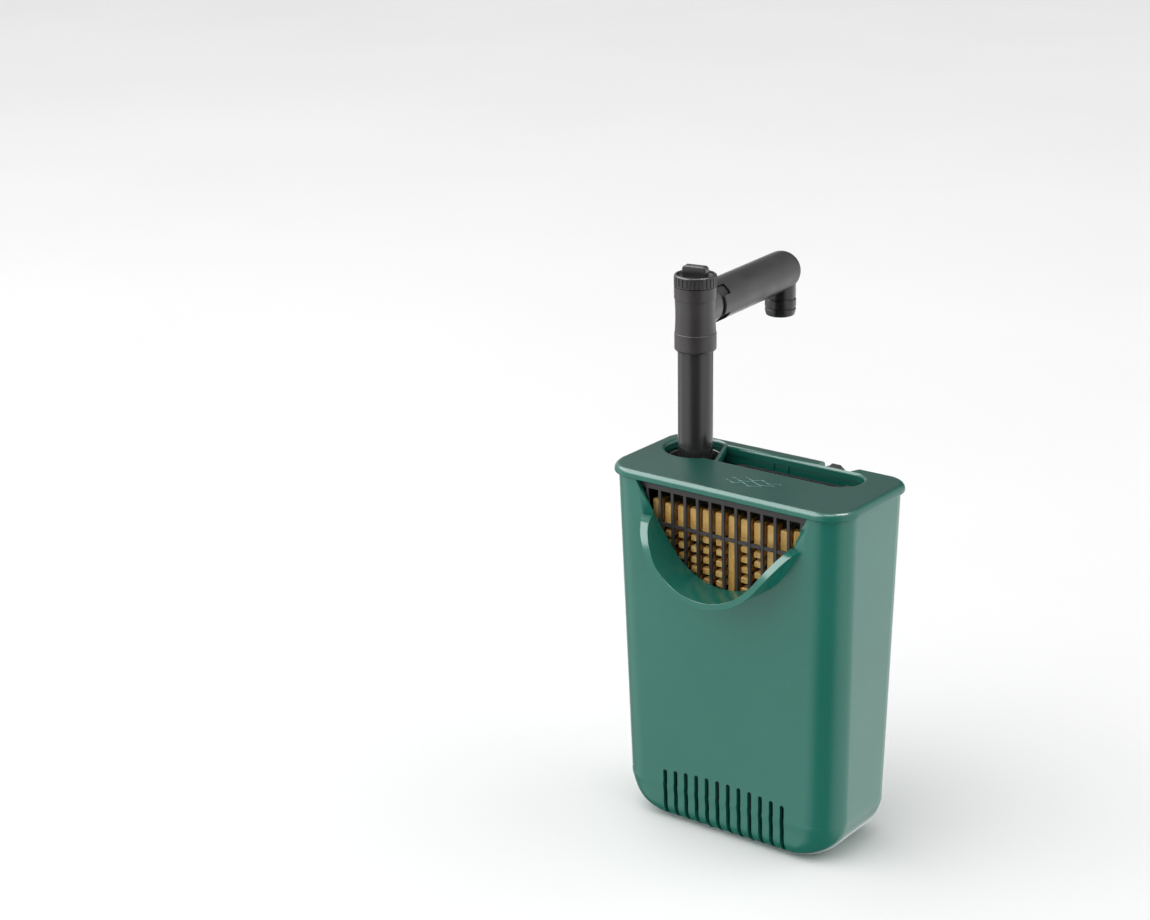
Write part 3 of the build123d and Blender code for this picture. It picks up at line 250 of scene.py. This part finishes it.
def carbon():
    """Black granules, dusty between their faces."""
    shader = Shader("carbon")
    cells = shader.node("ShaderNodeTexVoronoi", {"Vector": shader.place, "Scale": 420.0}).outputs["Distance"]
    colour = shader.mix(shader.spread(cells, 0, 1, 0.1, 0.6), rgb(0.008, 0.008, 0.008), rgb(0.035, 0.034, 0.033))
    gloss = shader.spread(cells, 0.35, 0.8, 0.0, 0.5)
    return shader.use(Base_Color=colour, Roughness=gloss, Normal=shader.bump(cells, 0.6, 0.0006))


def speckled_core():
    """Black porous foam with pale specks."""
    shader = Shader("speckled_core", Specular_IOR_Level=0.3)
    cells = shader.node("ShaderNodeTexVoronoi", {"Vector": shader.place, "Scale": 900.0}).outputs["Distance"]
    specks = shader.spread(shader.noise(1100.0, 3.0), 0.0, 1.0, 0.62, 0.74)
    colour = shader.mix(specks, rgb(0.012, 0.012, 0.012), rgb(0.16, 0.16, 0.17))
    gloss = shader.spread(cells, 0.5, 0.8, 0.0, 0.6)
    return shader.use(Base_Color=colour, Roughness=gloss, Normal=shader.bump(cells, 0.6, 0.0004))


def steel_core():
    """Stacked laminations across the rotor's axis."""
    shader = Shader("steel_core", Metallic=1.0)
    sheets = shader.node("ShaderNodeTexWave", {"Vector": shader.place, "Scale": 330.0, "Distortion": 0.3},
                         bands_direction="X")
    colour = shader.mix(sheets.outputs["Fac"], rgb(0.17, 0.17, 0.18), rgb(0.42, 0.42, 0.43))
    gloss = shader.spread(shader.noise(300.0), 0.32, 0.5)
    return shader.use(Base_Color=colour, Roughness=gloss, Normal=shader.bump(sheets.outputs["Fac"], 0.5, 0.0002))


def copper_coil():
    """Enamelled wire, wound about the rotor's axis."""
    shader = Shader("copper_coil", Metallic=1.0, Coat_Weight=0.6)
    turns = shader.node("ShaderNodeTexWave", {"Vector": shader.place, "Scale": 700.0, "Distortion": 0.4},
                        bands_direction="X")
    colour = shader.mix(turns.outputs["Fac"], rgb(0.28, 0.08, 0.03), rgb(0.72, 0.33, 0.14))
    gloss = shader.spread(shader.noise(400.0), 0.22, 0.4)
    return shader.use(Base_Color=colour, Roughness=gloss, Normal=shader.bump(turns.outputs["Fac"], 0.8, 0.0003))


def clear_rubber():
    """Soft translucent vinyl."""
    shader = Shader("clear_rubber", Transmission_Weight=0.72, IOR=1.45)
    colour = shader.mix(shader.drift(90.0, 4.0), rgb(0.62, 0.70, 0.70), rgb(0.80, 0.86, 0.86))
    gloss = shader.spread(shader.noise(160.0), 0.18, 0.34)
    return shader.use(Base_Color=colour, Roughness=gloss, Normal=shader.bump(shader.noise(500.0), 0.1, 0.0002))


def steel():
    """Turned stainless screws."""
    shader = Shader("steel", Metallic=1.0)
    marks = shader.noise(1800.0, 3.0, stretch=(1.0, 0.1, 1.0))
    colour = shader.mix(shader.spread(marks, 0, 1), rgb(0.46, 0.46, 0.47), rgb(0.62, 0.62, 0.62))
    gloss = shader.spread(marks, 0.22, 0.4)
    return shader.use(Base_Color=colour, Roughness=gloss, Normal=shader.bump(marks, 0.2, 0.0001))


MATERIALS = {name: moulded(name, *look) for name, *look in PLASTICS}
MATERIALS.update({make.__name__: make() for make in (
    green_lid, tee_plastic, gloss_tube, tan_media, speckled_core, floss, carbon, steel_core, copper_coil,
    clear_rubber, steel)})
OWN_LOOKS = {                   # materials of the nodes that don't wear their slot's
    "lid": "green_lid", "outlet_socket": "gloss_sleeve", "nozzle": "gloss_black", "diverter_knob": "knob_plastic",
    "cap_ring": "knob_plastic", "front_grate": "grate_plastic", "tee_body": "tee_plastic"}
ROUNDING = {                    # width in millimetres of the rounding on each node's sharp edges
    "lid": 0.35, "front_grate": 0.3, "arm_tube": 0.35, "tee_body": 0.35, "tee_collar": 0.3, "cap_ring": 0.25,
    "diverter_knob": 0.3, "nozzle": 0.3, "cartridge_frame": 0.35, "outlet_socket": 0.4, "cord_grommet": 0.35,
    "divider": 0.3, "pump_housing": 0.4, "motor_end_cap": 0.3, "volute_cover": 0.35, "intake_screen": 0.25}
MEETING = 0.002 * MM            # vertices this close are one
SHARP = 38                      # degrees between faces from which an edge is rounded


# ---------------------------------------------------------------- geometry helpers
def shade_smooth_group():
    """Geometry nodes that shade every face smooth."""
    group = bpy.data.node_groups.new("shade_smooth", "GeometryNodeTree")
    group.interface.new_socket("Geometry", in_out="INPUT", socket_type="NodeSocketGeometry")
    group.interface.new_socket("Geometry", in_out="OUTPUT", socket_type="NodeSocketGeometry")
    smooth = group.nodes.new("GeometryNodeSetShadeSmooth")
    group.links.new(group.nodes.new("NodeGroupInput").outputs[0], smooth.inputs[0])
    group.links.new(smooth.outputs[0], group.nodes.new("NodeGroupOutput").inputs[0])
    return group


SMOOTH = shade_smooth_group()


def round_edges(piece, width, segments=3, angle=SHARP, weights=False):
    """Rounds the sharp edges of a piece, or the ones that carry a bevel weight."""
    bevel = piece.modifiers.new("edge", "BEVEL")
    bevel.width = width
    bevel.segments = segments
    bevel.limit_method = "WEIGHT" if weights else "ANGLE"
    bevel.angle_limit = math.radians(angle)


def even_normals(piece):
    """Shades a piece smooth, with its large faces kept flat."""
    piece.modifiers.new("smooth", "NODES").node_group = SMOOTH
    normals = piece.modifiers.new("normals", "WEIGHTED_NORMAL")
    normals.mode = "FACE_AREA"
    normals.weight = 50


def finished(form, name, smooth=False):
    """The mesh that a form has grown into."""
    mesh = bpy.data.meshes.new(name)
    form.to_mesh(mesh)
    form.free()
    if smooth:
        mesh.polygons.foreach_set("use_smooth", [True] * len(mesh.polygons))
    return mesh


def bridge(form, rings):
    """Faces between each closed ring of vertices and the next."""
    for lower, upper in zip(rings, rings[1:]):
        for index in range(len(lower)):
            after = (index + 1) % len(lower)
            form.faces.new((lower[index], lower[after], upper[after], upper[index]))


def cad_normals(piece, source):
    """Fixes a piece's modifiers in its mesh, with the CAD surface's normals wherever it lies on it."""
    bpy.context.view_layer.update()
    graph = bpy.context.evaluated_depsgraph_get()
    mesh = bpy.data.meshes.new_from_object(piece.evaluated_get(graph))
    piece.modifiers.clear()
    piece.data = mesh
    mesh.polygons.foreach_set("use_smooth", [True] * len(mesh.polygons))
    corners = [vert.co.copy() for vert in source.vertices]
    surface = BVHTree.FromPolygons(corners, [tuple(face.vertices) for face in source.polygons])
    normals = []
    for vert in mesh.vertices:
        place, _, index, distance = surface.find_nearest(vert.co)
        if distance > MEETING:
            normals.append(vert.normal.copy())
            continue
        face = source.polygons[index]
        shares = poly_3d_calc([corners[corner] for corner in face.vertices], place)
        normal = Vector()
        for loop, share in zip(face.loop_indices, shares):
            normal += share * source.corner_normals[loop].vector
        normals.append(normal.normalized())
    mesh.normals_split_custom_set_from_vertices(normals)


def link(name, mesh, body, slot, look=None, stands_for=()):
    """A piece made of a mesh, riding on a body, with the material named by slot or one of its own."""
    piece = bpy.data.objects.new(name, mesh)
    bpy.context.scene.collection.objects.link(piece)
    mesh.materials.clear()
    mesh.materials.append(MATERIALS[look or slot])
    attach(piece, body)
    if stands_for:
        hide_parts(*stands_for)
    return piece


def finish_cad_nodes():
    """Gives each CAD node its material, and rounds its sharp edges a little."""
    for name, node in NODES.items():
        node.data.materials.clear()
        node.data.materials.append(MATERIALS[OWN_LOOKS.get(name, SLOT_OF[name])])
        weld = node.modifiers.new("weld", "WELD")
        weld.merge_threshold = MEETING
        if name in ROUNDING:
            round_edges(node, ROUNDING[name] * MM)
            even_normals(node)


# ---------------------------------------------------------------- casing
RIM_ROUND = 1.3 * MM            # half of the rim's thickness at its lowest point
RIM_SEGMENTS = 6
CASING_ROUND = 0.45 * MM
RIM_DEPTH, LEDGE = 4.5 * MM, 151.6 * MM         # of the rim in front of the wall, and the height it stays below


def make_casing():
    """The casing's own form, with the spout's rim rounded full and its other edges broken."""
    node = NODES["casing"]
    wall_front = -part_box("casing")[1].y     # the front wall mirrors the back one
    form = bmesh.new()
    form.from_mesh(node.data)
    bmesh.ops.remove_doubles(form, verts=form.verts, dist=MEETING)
    weight = form.edges.layers.float.new("bevel_weight_edge")
    sharp = math.radians(SHARP)
    for edge in form.edges:
        middle = (edge.verts[0].co + edge.verts[1].co) / 2
        on_rim = middle.y < wall_front - RIM_DEPTH and max(vert.co.z for vert in edge.verts) < LEDGE
        if on_rim and len(edge.link_faces) == 2 and edge.calc_face_angle(0.0) > sharp:
            edge[weight] = 1.0
    shell = link("casing_shell", finished(form, "casing_shell"), "casing", "green_shell", stands_for=("casing",))
    round_edges(shell, RIM_ROUND, segments=RIM_SEGMENTS, weights=True)
    round_edges(shell, CASING_ROUND)
    cad_normals(shell, node.data)


# ---------------------------------------------------------------- media behind the grate
BAR_PITCH = 6.87 * MM           # of the upright bars in front of the media
GAPS = range(-6, 6)
RIB_GAPS = (0, 3)               # gaps that show one upright rib
PEG_PITCH, PEG_HEIGHT, PEG_GAP = 5.0 * MM, 3.0 * MM, 3.5 * MM   # PEG_GAP is left above the foot at least
STUB_LENGTH, STUB_GAP = 12.0 * MM, 1.4 * MM     # and what lies between a stub and its pegs
RIB_HALF, STUB_HALF, PEG_HALF = 1.75 * MM, 1.95 * MM, 2.0 * MM
RIB_CROWN, STUB_CROWN, PEG_CROWN = 1.2 * MM, 0.9 * MM, 1.1 * MM
HEAD_GAP, RIB_DROP = 0.4 * MM, 2.5 * MM         # below the box's top, and of the ribs below that
FACE_SET, ROOT = 0.1 * MM, MM   # of the front faces behind the box's front, and of the backs inside the core
CORE_DEPTH, CORE_CUTS = 8.0 * MM, (88, 60)
# scatter in millimetres: either way for the first four, and from one value to another for the last two
SHIFT_SCATTER, LENGTH_SCATTER, DROP_SCATTER, CORE_SCATTER = 0.15, 0.8, 0.25, 0.35
STUB_DROP, PEG_SET = (2.2, 3.6), (0.1, 0.7)
MEDIA_SHIFT = -1.3 * MM         # of the media's columns from the middles of the gaps


POST_CORNER = 0.42              # radius of a post's corners as a share of its smaller half
POST_STEPS = 4                  # along each corner
POST_RINGS = [                  # share of the outline, and of the crown's depth
    (1.0, 1.0), (0.97, 0.5), (0.89, 0.14), (0.70, 0.0)]


def rounded_post(form, left, right, foot, head, face, back, crown):
    """A post with a crowned, round-cornered front face, from its back plane to its face."""
    middle = Vector(((left + right) / 2, 0, (foot + head) / 2))
    half = Vector(((right - left) / 2, 0, (head - foot) / 2))
    corner = min(half.x, half.z) * POST_CORNER
    outline = []
    for quarter, (sign_x, sign_z) in enumerate(((1, 1), (-1, 1), (-1, -1), (1, -1))):
        for step in range(POST_STEPS + 1):
            turn = math.radians(90 * quarter + 90 / POST_STEPS * step)
            outline.append((middle.x + sign_x * (half.x - corner) + corner * math.cos(turn),
                            middle.z + sign_z * (half.z - corner) + corner * math.sin(turn)))
    rings = []
    for share, depth in [(1.0, back)] + [(share, face + part * crown) for share, part in POST_RINGS]:
        tall = share if half.z < 2 * half.x else 1 - (1 - share) * half.x / half.z
        rings.append([form.verts.new((middle.x + (x - middle.x) * share, depth, middle.z + (z - middle.z) * tall))
                      for x, z in outline])
    bridge(form, rings)
    form.faces.new(rings[-1])
    form.faces.new(reversed(rings[0]))


def make_media():
    """Tan pegs, stubs and ribs in front of a dark porous core."""
    rng = random.Random(7)
    low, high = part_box("bio_grid")
    face, core_face = low.y + FACE_SET, low.y + CORE_DEPTH
    back, head = core_face + ROOT, high.z - HEAD_GAP
    form = bmesh.new()
    for gap in GAPS:
        across = (gap + 0.5) * BAR_PITCH + MEDIA_SHIFT + rng.uniform(-SHIFT_SCATTER, SHIFT_SCATTER) * MM
        if gap in RIB_GAPS:
            rounded_post(form, across - RIB_HALF, across + RIB_HALF, low.z, head - RIB_DROP, face, back, RIB_CROWN)
            continue
        top = head - rng.uniform(*STUB_DROP) * MM
        foot = top - STUB_LENGTH - rng.uniform(-LENGTH_SCATTER, LENGTH_SCATTER) * MM
        rounded_post(form, across - STUB_HALF, across + STUB_HALF, foot, top, face, back, STUB_CROWN)
        level = foot - STUB_GAP
        while level - PEG_GAP > low.z:
            drop = rng.uniform(-DROP_SCATTER, DROP_SCATTER) * MM
            rounded_post(form, across - PEG_HALF, across + PEG_HALF, level - PEG_HEIGHT + drop, level + drop,
                         low.y + rng.uniform(*PEG_SET) * MM, back, PEG_CROWN)
            level -= PEG_PITCH
    media = link("bio_media", finished(form, "bio_media"), "casing", "tan_media", stands_for=("bio_grid",))
    even_normals(media)
    core = bmesh.new()
    bmesh.ops.create_grid(core, x_segments=CORE_CUTS[0], y_segments=CORE_CUTS[1], size=0.5)
    wide, tall = high.x - low.x, high.z - low.z
    for vert in core.verts:
        bulge = rng.uniform(-CORE_SCATTER, CORE_SCATTER) * MM
        vert.co = Vector((vert.co.x * wide, core_face + bulge, low.z + (vert.co.y + 0.5) * tall))
    rim = [edge for edge in core.edges if edge.is_boundary]
    walls = bmesh.ops.extrude_edge_only(core, edges=rim)["geom"]
    for vert in walls:
        if isinstance(vert, bmesh.types.BMVert):
            vert.co.y = high.y
    bmesh.ops.holes_fill(core, edges=[edge for edge in core.edges if edge.is_boundary], sides=0)
    bmesh.ops.recalc_face_normals(core, faces=core.faces)
    link("bio_core", finished(core, "bio_core"), "casing", "black_plastic", look="speckled_core")


# ---------------------------------------------------------------- nozzle
NOZZLE_PROFILE = [              # beyond the CAD radius, and above the foot, in millimetres
    (-1.2, 0.0), (-0.5, 0.4), (-0.1, 1.5), (0.15, 3.1), (0.1, 3.5), (-0.45, 3.75), (-0.45, 4.2), (0.1, 4.45),
    (0.22, 4.9), (0.22, 7.7), (0.15, 8.3), (-0.45, 8.5), (-0.45, 8.95), (0.0, 9.2), (0.02, 9.7)]
NOZZLE_WALL, NOZZLE_ROUND, NOZZLE_SIDES = 1.6 * MM, 0.1 * MM, 96


def make_nozzle():
    """The nozzle with its barrelled bands and the two grooves between them."""
    low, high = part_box("nozzle")
    centre, radius = (low + high) / 2, (high.x - low.x) / 2
    outline = [(radius + beyond * MM, low.z + above * MM) for beyond, above in NOZZLE_PROFILE]
    outline += [(radius, high.z), (radius - NOZZLE_WALL, high.z), (radius - NOZZLE_WALL, low.z)]
    form = bmesh.new()
    rings = []
    for side in range(NOZZLE_SIDES):
        turn = 2 * math.pi * side / NOZZLE_SIDES
        rings.append([form.verts.new((centre.x + out * math.cos(turn), centre.y + out * math.sin(turn), level))
                      for out, level in outline])
    for side in range(NOZZLE_SIDES):
        here, there = rings[side], rings[(side + 1) % NOZZLE_SIDES]
        for index in range(len(outline)):
            after = (index + 1) % len(outline)
            form.faces.new((here[index], there[index], there[after], here[after]))
    bmesh.ops.recalc_face_normals(form, faces=form.faces)
    nozzle = link("nozzle_form", finished(form, "nozzle_form"), "arm", "black_plastic", look=OWN_LOOKS["nozzle"],
                  stands_for=("nozzle",))
    round_edges(nozzle, NOZZLE_ROUND, segments=2, angle=20)
    even_normals(nozzle)


# ---------------------------------------------------------------- media in the cartridge
FIBRES, LUMPS, GRANULES = 260.0, 60.0, 380.0    # features per metre
PAD_CUTS, BED_CUTS = 40, 70
PAD_SINK, PAD_MAT, PAD_LUMP, BED_SINK = 0.35 * MM, 0.3 * MM, 0.25 * MM, 0.9 * MM        # depths
ON_FACE = 0.499                 # share of a cube's side beyond which a vertex lies on the face


def rough_block(node, cuts, hollow):
    """A block in a CAD node's box whose faces are pressed in by hollow, a depth at each place."""
    low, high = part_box(node)
    form = bmesh.new()
    bmesh.ops.create_cube(form, size=1.0)
    bmesh.ops.subdivide_edges(form, edges=form.edges, cuts=cuts, use_grid_fill=True)
    for vert in form.verts:
        share = vert.co.copy()
        place = Vector([low[axis] + (share[axis] + 0.5) * (high[axis] - low[axis]) for axis in range(3)])
        depth = hollow(place)
        for axis in range(3):
            if abs(share[axis]) > ON_FACE:
                place[axis] -= math.copysign(depth, share[axis])
        vert.co = place
    return finished(form, node + "_form", smooth=True)


def make_cartridge_media():
    """A matted fibre pad and a bed of granules in place of their plain blocks."""
    pad = rough_block("cartridge_floss", PAD_CUTS, lambda place: (
        PAD_SINK + PAD_MAT * noise.noise(place * FIBRES) + PAD_LUMP * noise.noise(place * LUMPS)))
    piece = link("floss_pad", pad, "cartridge", "floss", stands_for=("cartridge_floss",))
    bed = rough_block("cartridge_carbon", BED_CUTS, lambda place: (
        BED_SINK * min(noise.voronoi(place * GRANULES)[0][0], 1.0)))
    link("carbon_bed", bed, "cartridge", "carbon", stands_for=("cartridge_carbon",))


# ---------------------------------------------------------------- relief on the lid
RELIEF_X, RELIEF_Y = 6.5 * MM, -13.5 * MM       # its middle
WAVES, WAVE_PITCH, WAVE_LENGTH, WAVE_SWING = 3, 3.6 * MM, 26.0 * MM, 1.1 * MM
WAVE_TURNS, WAVE_STEPS = 2.5, 60
WAVE_SLANT, WAVE_TAPER = 0.8, 4.0 * MM          # along per step across, and what the outer waves are shorter by
STROKE_WIDTH, STROKE_HEIGHT, STROKE_ROOT = 1.0 * MM, 0.3 * MM, 0.1 * MM
STROKE_POINTS = 7               # across a stroke's section
STROKE_END = 0.08               # share of the width's square that is left at the ends


def stroke(form, points, top):
    """A raised stroke with a rounded section and tapered ends, along points on a plane at a height."""
    rings = []
    for index, point in enumerate(points):
        before, after = points[max(index - 1, 0)], points[min(index + 1, len(points) - 1)]
        along = (after - before).normalized()
        side = Vector((-along.y, along.x))
        share = max(math.sin(math.pi * index / (len(points) - 1)), STROKE_END) ** 0.5
        ring = []
        for step in range(STROKE_POINTS):
            turn = math.pi * step / (STROKE_POINTS - 1)
            spot = point + side * (math.cos(turn) * STROKE_WIDTH / 2 * share)
            rise = (STROKE_HEIGHT + STROKE_ROOT) * share * math.sin(turn)
            ring.append(form.verts.new((spot.x, spot.y, top - STROKE_ROOT + rise)))
        rings.append(ring)
    bridge(form, rings)
    form.faces.new(reversed(rings[0]))
    form.faces.new(rings[-1])


def make_relief():
    """Three waves moulded on the lid."""
    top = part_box("lid")[1].z
    form = bmesh.new()
    for wave in range(WAVES):
        shift = (wave - (WAVES - 1) / 2) * WAVE_PITCH
        length = WAVE_LENGTH - WAVE_TAPER * abs(wave - 1)
        points = []
        for step in range(WAVE_STEPS + 1):
            share = step / WAVE_STEPS
            swing = WAVE_SWING * math.sin(2 * math.pi * WAVE_TURNS * share)
            points.append(Vector((RELIEF_X + (share - 0.5) * length + WAVE_SLANT * shift,
                                  RELIEF_Y + shift + swing)))
        stroke(form, points, top)
    bmesh.ops.recalc_face_normals(form, faces=form.faces)
    link("lid_relief", finished(form, "lid_relief", smooth=True), "lid", "green_shell", look="green_lid")


# ---------------------------------------------------------------- stage
def toward(azimuth, elevation):
    """Unit vector; azimuth 0 is the front, -Y, and 90 the right, +X."""
    turn, rise = math.radians(azimuth), math.radians(elevation)
    return Vector((math.sin(turn) * math.cos(rise), -math.cos(turn) * math.cos(rise), math.sin(rise)))


def panel(tree, azimuth, elevation, inner, outer, strength):
    """Radiance that is full within inner degrees of a direction and fades out at outer degrees."""
    place = tree.nodes.new("ShaderNodeTexCoord").outputs["Generated"]
    dot = tree.nodes.new("ShaderNodeVectorMath")
    dot.operation = "DOT_PRODUCT"
    tree.links.new(place, dot.inputs[0])
    dot.inputs[1].default_value = toward(azimuth, elevation)
    fade = tree.nodes.new("ShaderNodeMapRange")
    fade.interpolation_type = "SMOOTHSTEP"
    tree.links.new(dot.outputs["Value"], fade.inputs["Value"])
    fade.inputs["From Min"].default_value = math.cos(math.radians(outer))
    fade.inputs["From Max"].default_value = math.cos(math.radians(inner))
    fade.inputs["To Min"].default_value = 0.0
    fade.inputs["To Max"].default_value = strength
    return fade.outputs["Result"]


PANELS = [                      # azimuth, elevation, inner and outer half angle, radiance
    (-42, 0, 22, 62, 1.22),     # front left
    (116, 0, 30, 68, 1.22),     # right
    (152, -12, 12, 34, 0.25),   # rear right
    (-120, 18, 12, 38, 0.42),   # rear left
    (-100, 0, 20, 45, 0.40),    # left
    (0, 90, 20, 75, 0.58),      # overhead
    (-145, -18, 10, 28, 1.4),   # white surroundings behind, below the horizon
    (178, -34, 14, 32, 0.8),    # and further down
]
SOFTBOXES = [                   # azimuth, elevation, width and height in metres, radiance, seen in reflections
    (-62, 50, 3.0, 1.5, 7.0, True),     # above the front left
    (123, 69, 0.8, 0.8, 18.0, True),    # above the rear right
    (20, 74, 0.7, 0.7, 9.0, True),      # above the front
    (-35, 62, 2.4, 2.4, 1.15, False),   # even light from above
]
SOFTBOX_REACH = 2.0             # metres from the object
FILL = 0.07                     # radiance that each panel adds in every direction
FLOOR_REACH, FLOOR_DROP = 30.0, 0.0001          # metres out from the middle, and below the base
CAMERA_LENS, CAMERA_SENSOR = 75.02, 36.0        # millimetres
CAMERA_SHIFT = -0.077, -0.0719
CAMERA_PLACE = 0.55755, -0.85639, 0.52597
CAMERA_AIM = -0.5545, 0.7800, -0.2900
CAMERA_ROLL = -0.23             # degrees
CAMERA_CLIP = 0.01, 100.0


def make_world():
    """Studio surround: soft panels by direction over a dim even fill."""
    world = bpy.data.worlds.new("studio")
    bpy.context.scene.world = world
    world.use_nodes = True
    tree = world.node_tree
    total = None
    for values in PANELS:
        plus = tree.nodes.new("ShaderNodeMath")
        plus.operation = "ADD"
        tree.links.new(panel(tree, *values), plus.inputs[0])
        plus.inputs[1].default_value = FILL
        if total is not None:
            tree.links.new(total, plus.inputs[1])
        total = plus.outputs[0]
    tree.nodes["Background"].inputs["Color"].default_value = (1, 1, 1, 1)
    tree.links.new(total, tree.nodes["Background"].inputs["Strength"])


def make_softboxes():
    """Large panels: those seen in reflections only make highlights, and the others only light the colours."""
    aim = (CAD_LOW + CAD_HIGH) / 2
    for number, (azimuth, elevation, width, height, radiance, reflected) in enumerate(SOFTBOXES):
        data = bpy.data.lights.new(f"softbox_{number}", "AREA")
        data.shape = "RECTANGLE"
        data.size, data.size_y = width, height
        data.energy = math.pi * width * height * radiance
        light = bpy.data.objects.new(f"softbox_{number}", data)
        bpy.context.scene.collection.objects.link(light)
        outward = toward(azimuth, elevation)
        light.rotation_euler = outward.to_track_quat("Z", "Y").to_euler()
        light.location = aim + SOFTBOX_REACH * outward
        light.visible_glossy = reflected
        light.visible_diffuse = not reflected
        light.visible_camera = False


def make_stage():
    """Pale floor, and plain colours on screen."""
    mesh = bpy.data.meshes.new("floor")
    corners = [(across * FLOOR_REACH, along * FLOOR_REACH, 0) for across, along in (
        (-1, -1), (1, -1), (1, 1), (-1, 1))]
    mesh.from_pydata(corners, [], [(0, 1, 2, 3)])
    floor = bpy.data.objects.new("floor", mesh)
    bpy.context.scene.collection.objects.link(floor)
    shader = Shader("floor", Roughness=0.9, Specular_IOR_Level=0.0)
    tone = shader.mix(shader.drift(3.0), rgb(0.97, 0.97, 0.97), rgb(0.99, 0.99, 0.99))
    mesh.materials.append(shader.use(Base_Color=tone))
    floor.location.z = CAD_LOW.z - FLOOR_DROP
    floor.visible_glossy = False
    scene = bpy.context.scene
    scene.view_settings.view_transform = "Standard"
    scene.view_settings.look = "None"


def make_camera():
    """Camera at the photograph's viewing angle."""
    data = bpy.data.cameras.new("camera")
    data.sensor_width, data.lens = CAMERA_SENSOR, CAMERA_LENS
    data.shift_x, data.shift_y = CAMERA_SHIFT
    data.clip_start, data.clip_end = CAMERA_CLIP
    camera = bpy.data.objects.new("camera", data)
    bpy.context.scene.collection.objects.link(camera)
    forward = Vector(CAMERA_AIM).normalized()
    turn = forward.to_track_quat("-Z", "Y").to_matrix() @ Matrix.Rotation(math.radians(CAMERA_ROLL), 3, "Z")
    camera.matrix_world = Matrix.Translation(CAMERA_PLACE) @ turn.to_4x4()
    bpy.context.scene.camera = camera


finish_cad_nodes()
make_casing()
make_media()
make_nozzle()
make_cartridge_media()
make_relief()
make_world()
make_softboxes()
make_stage()
make_camera()
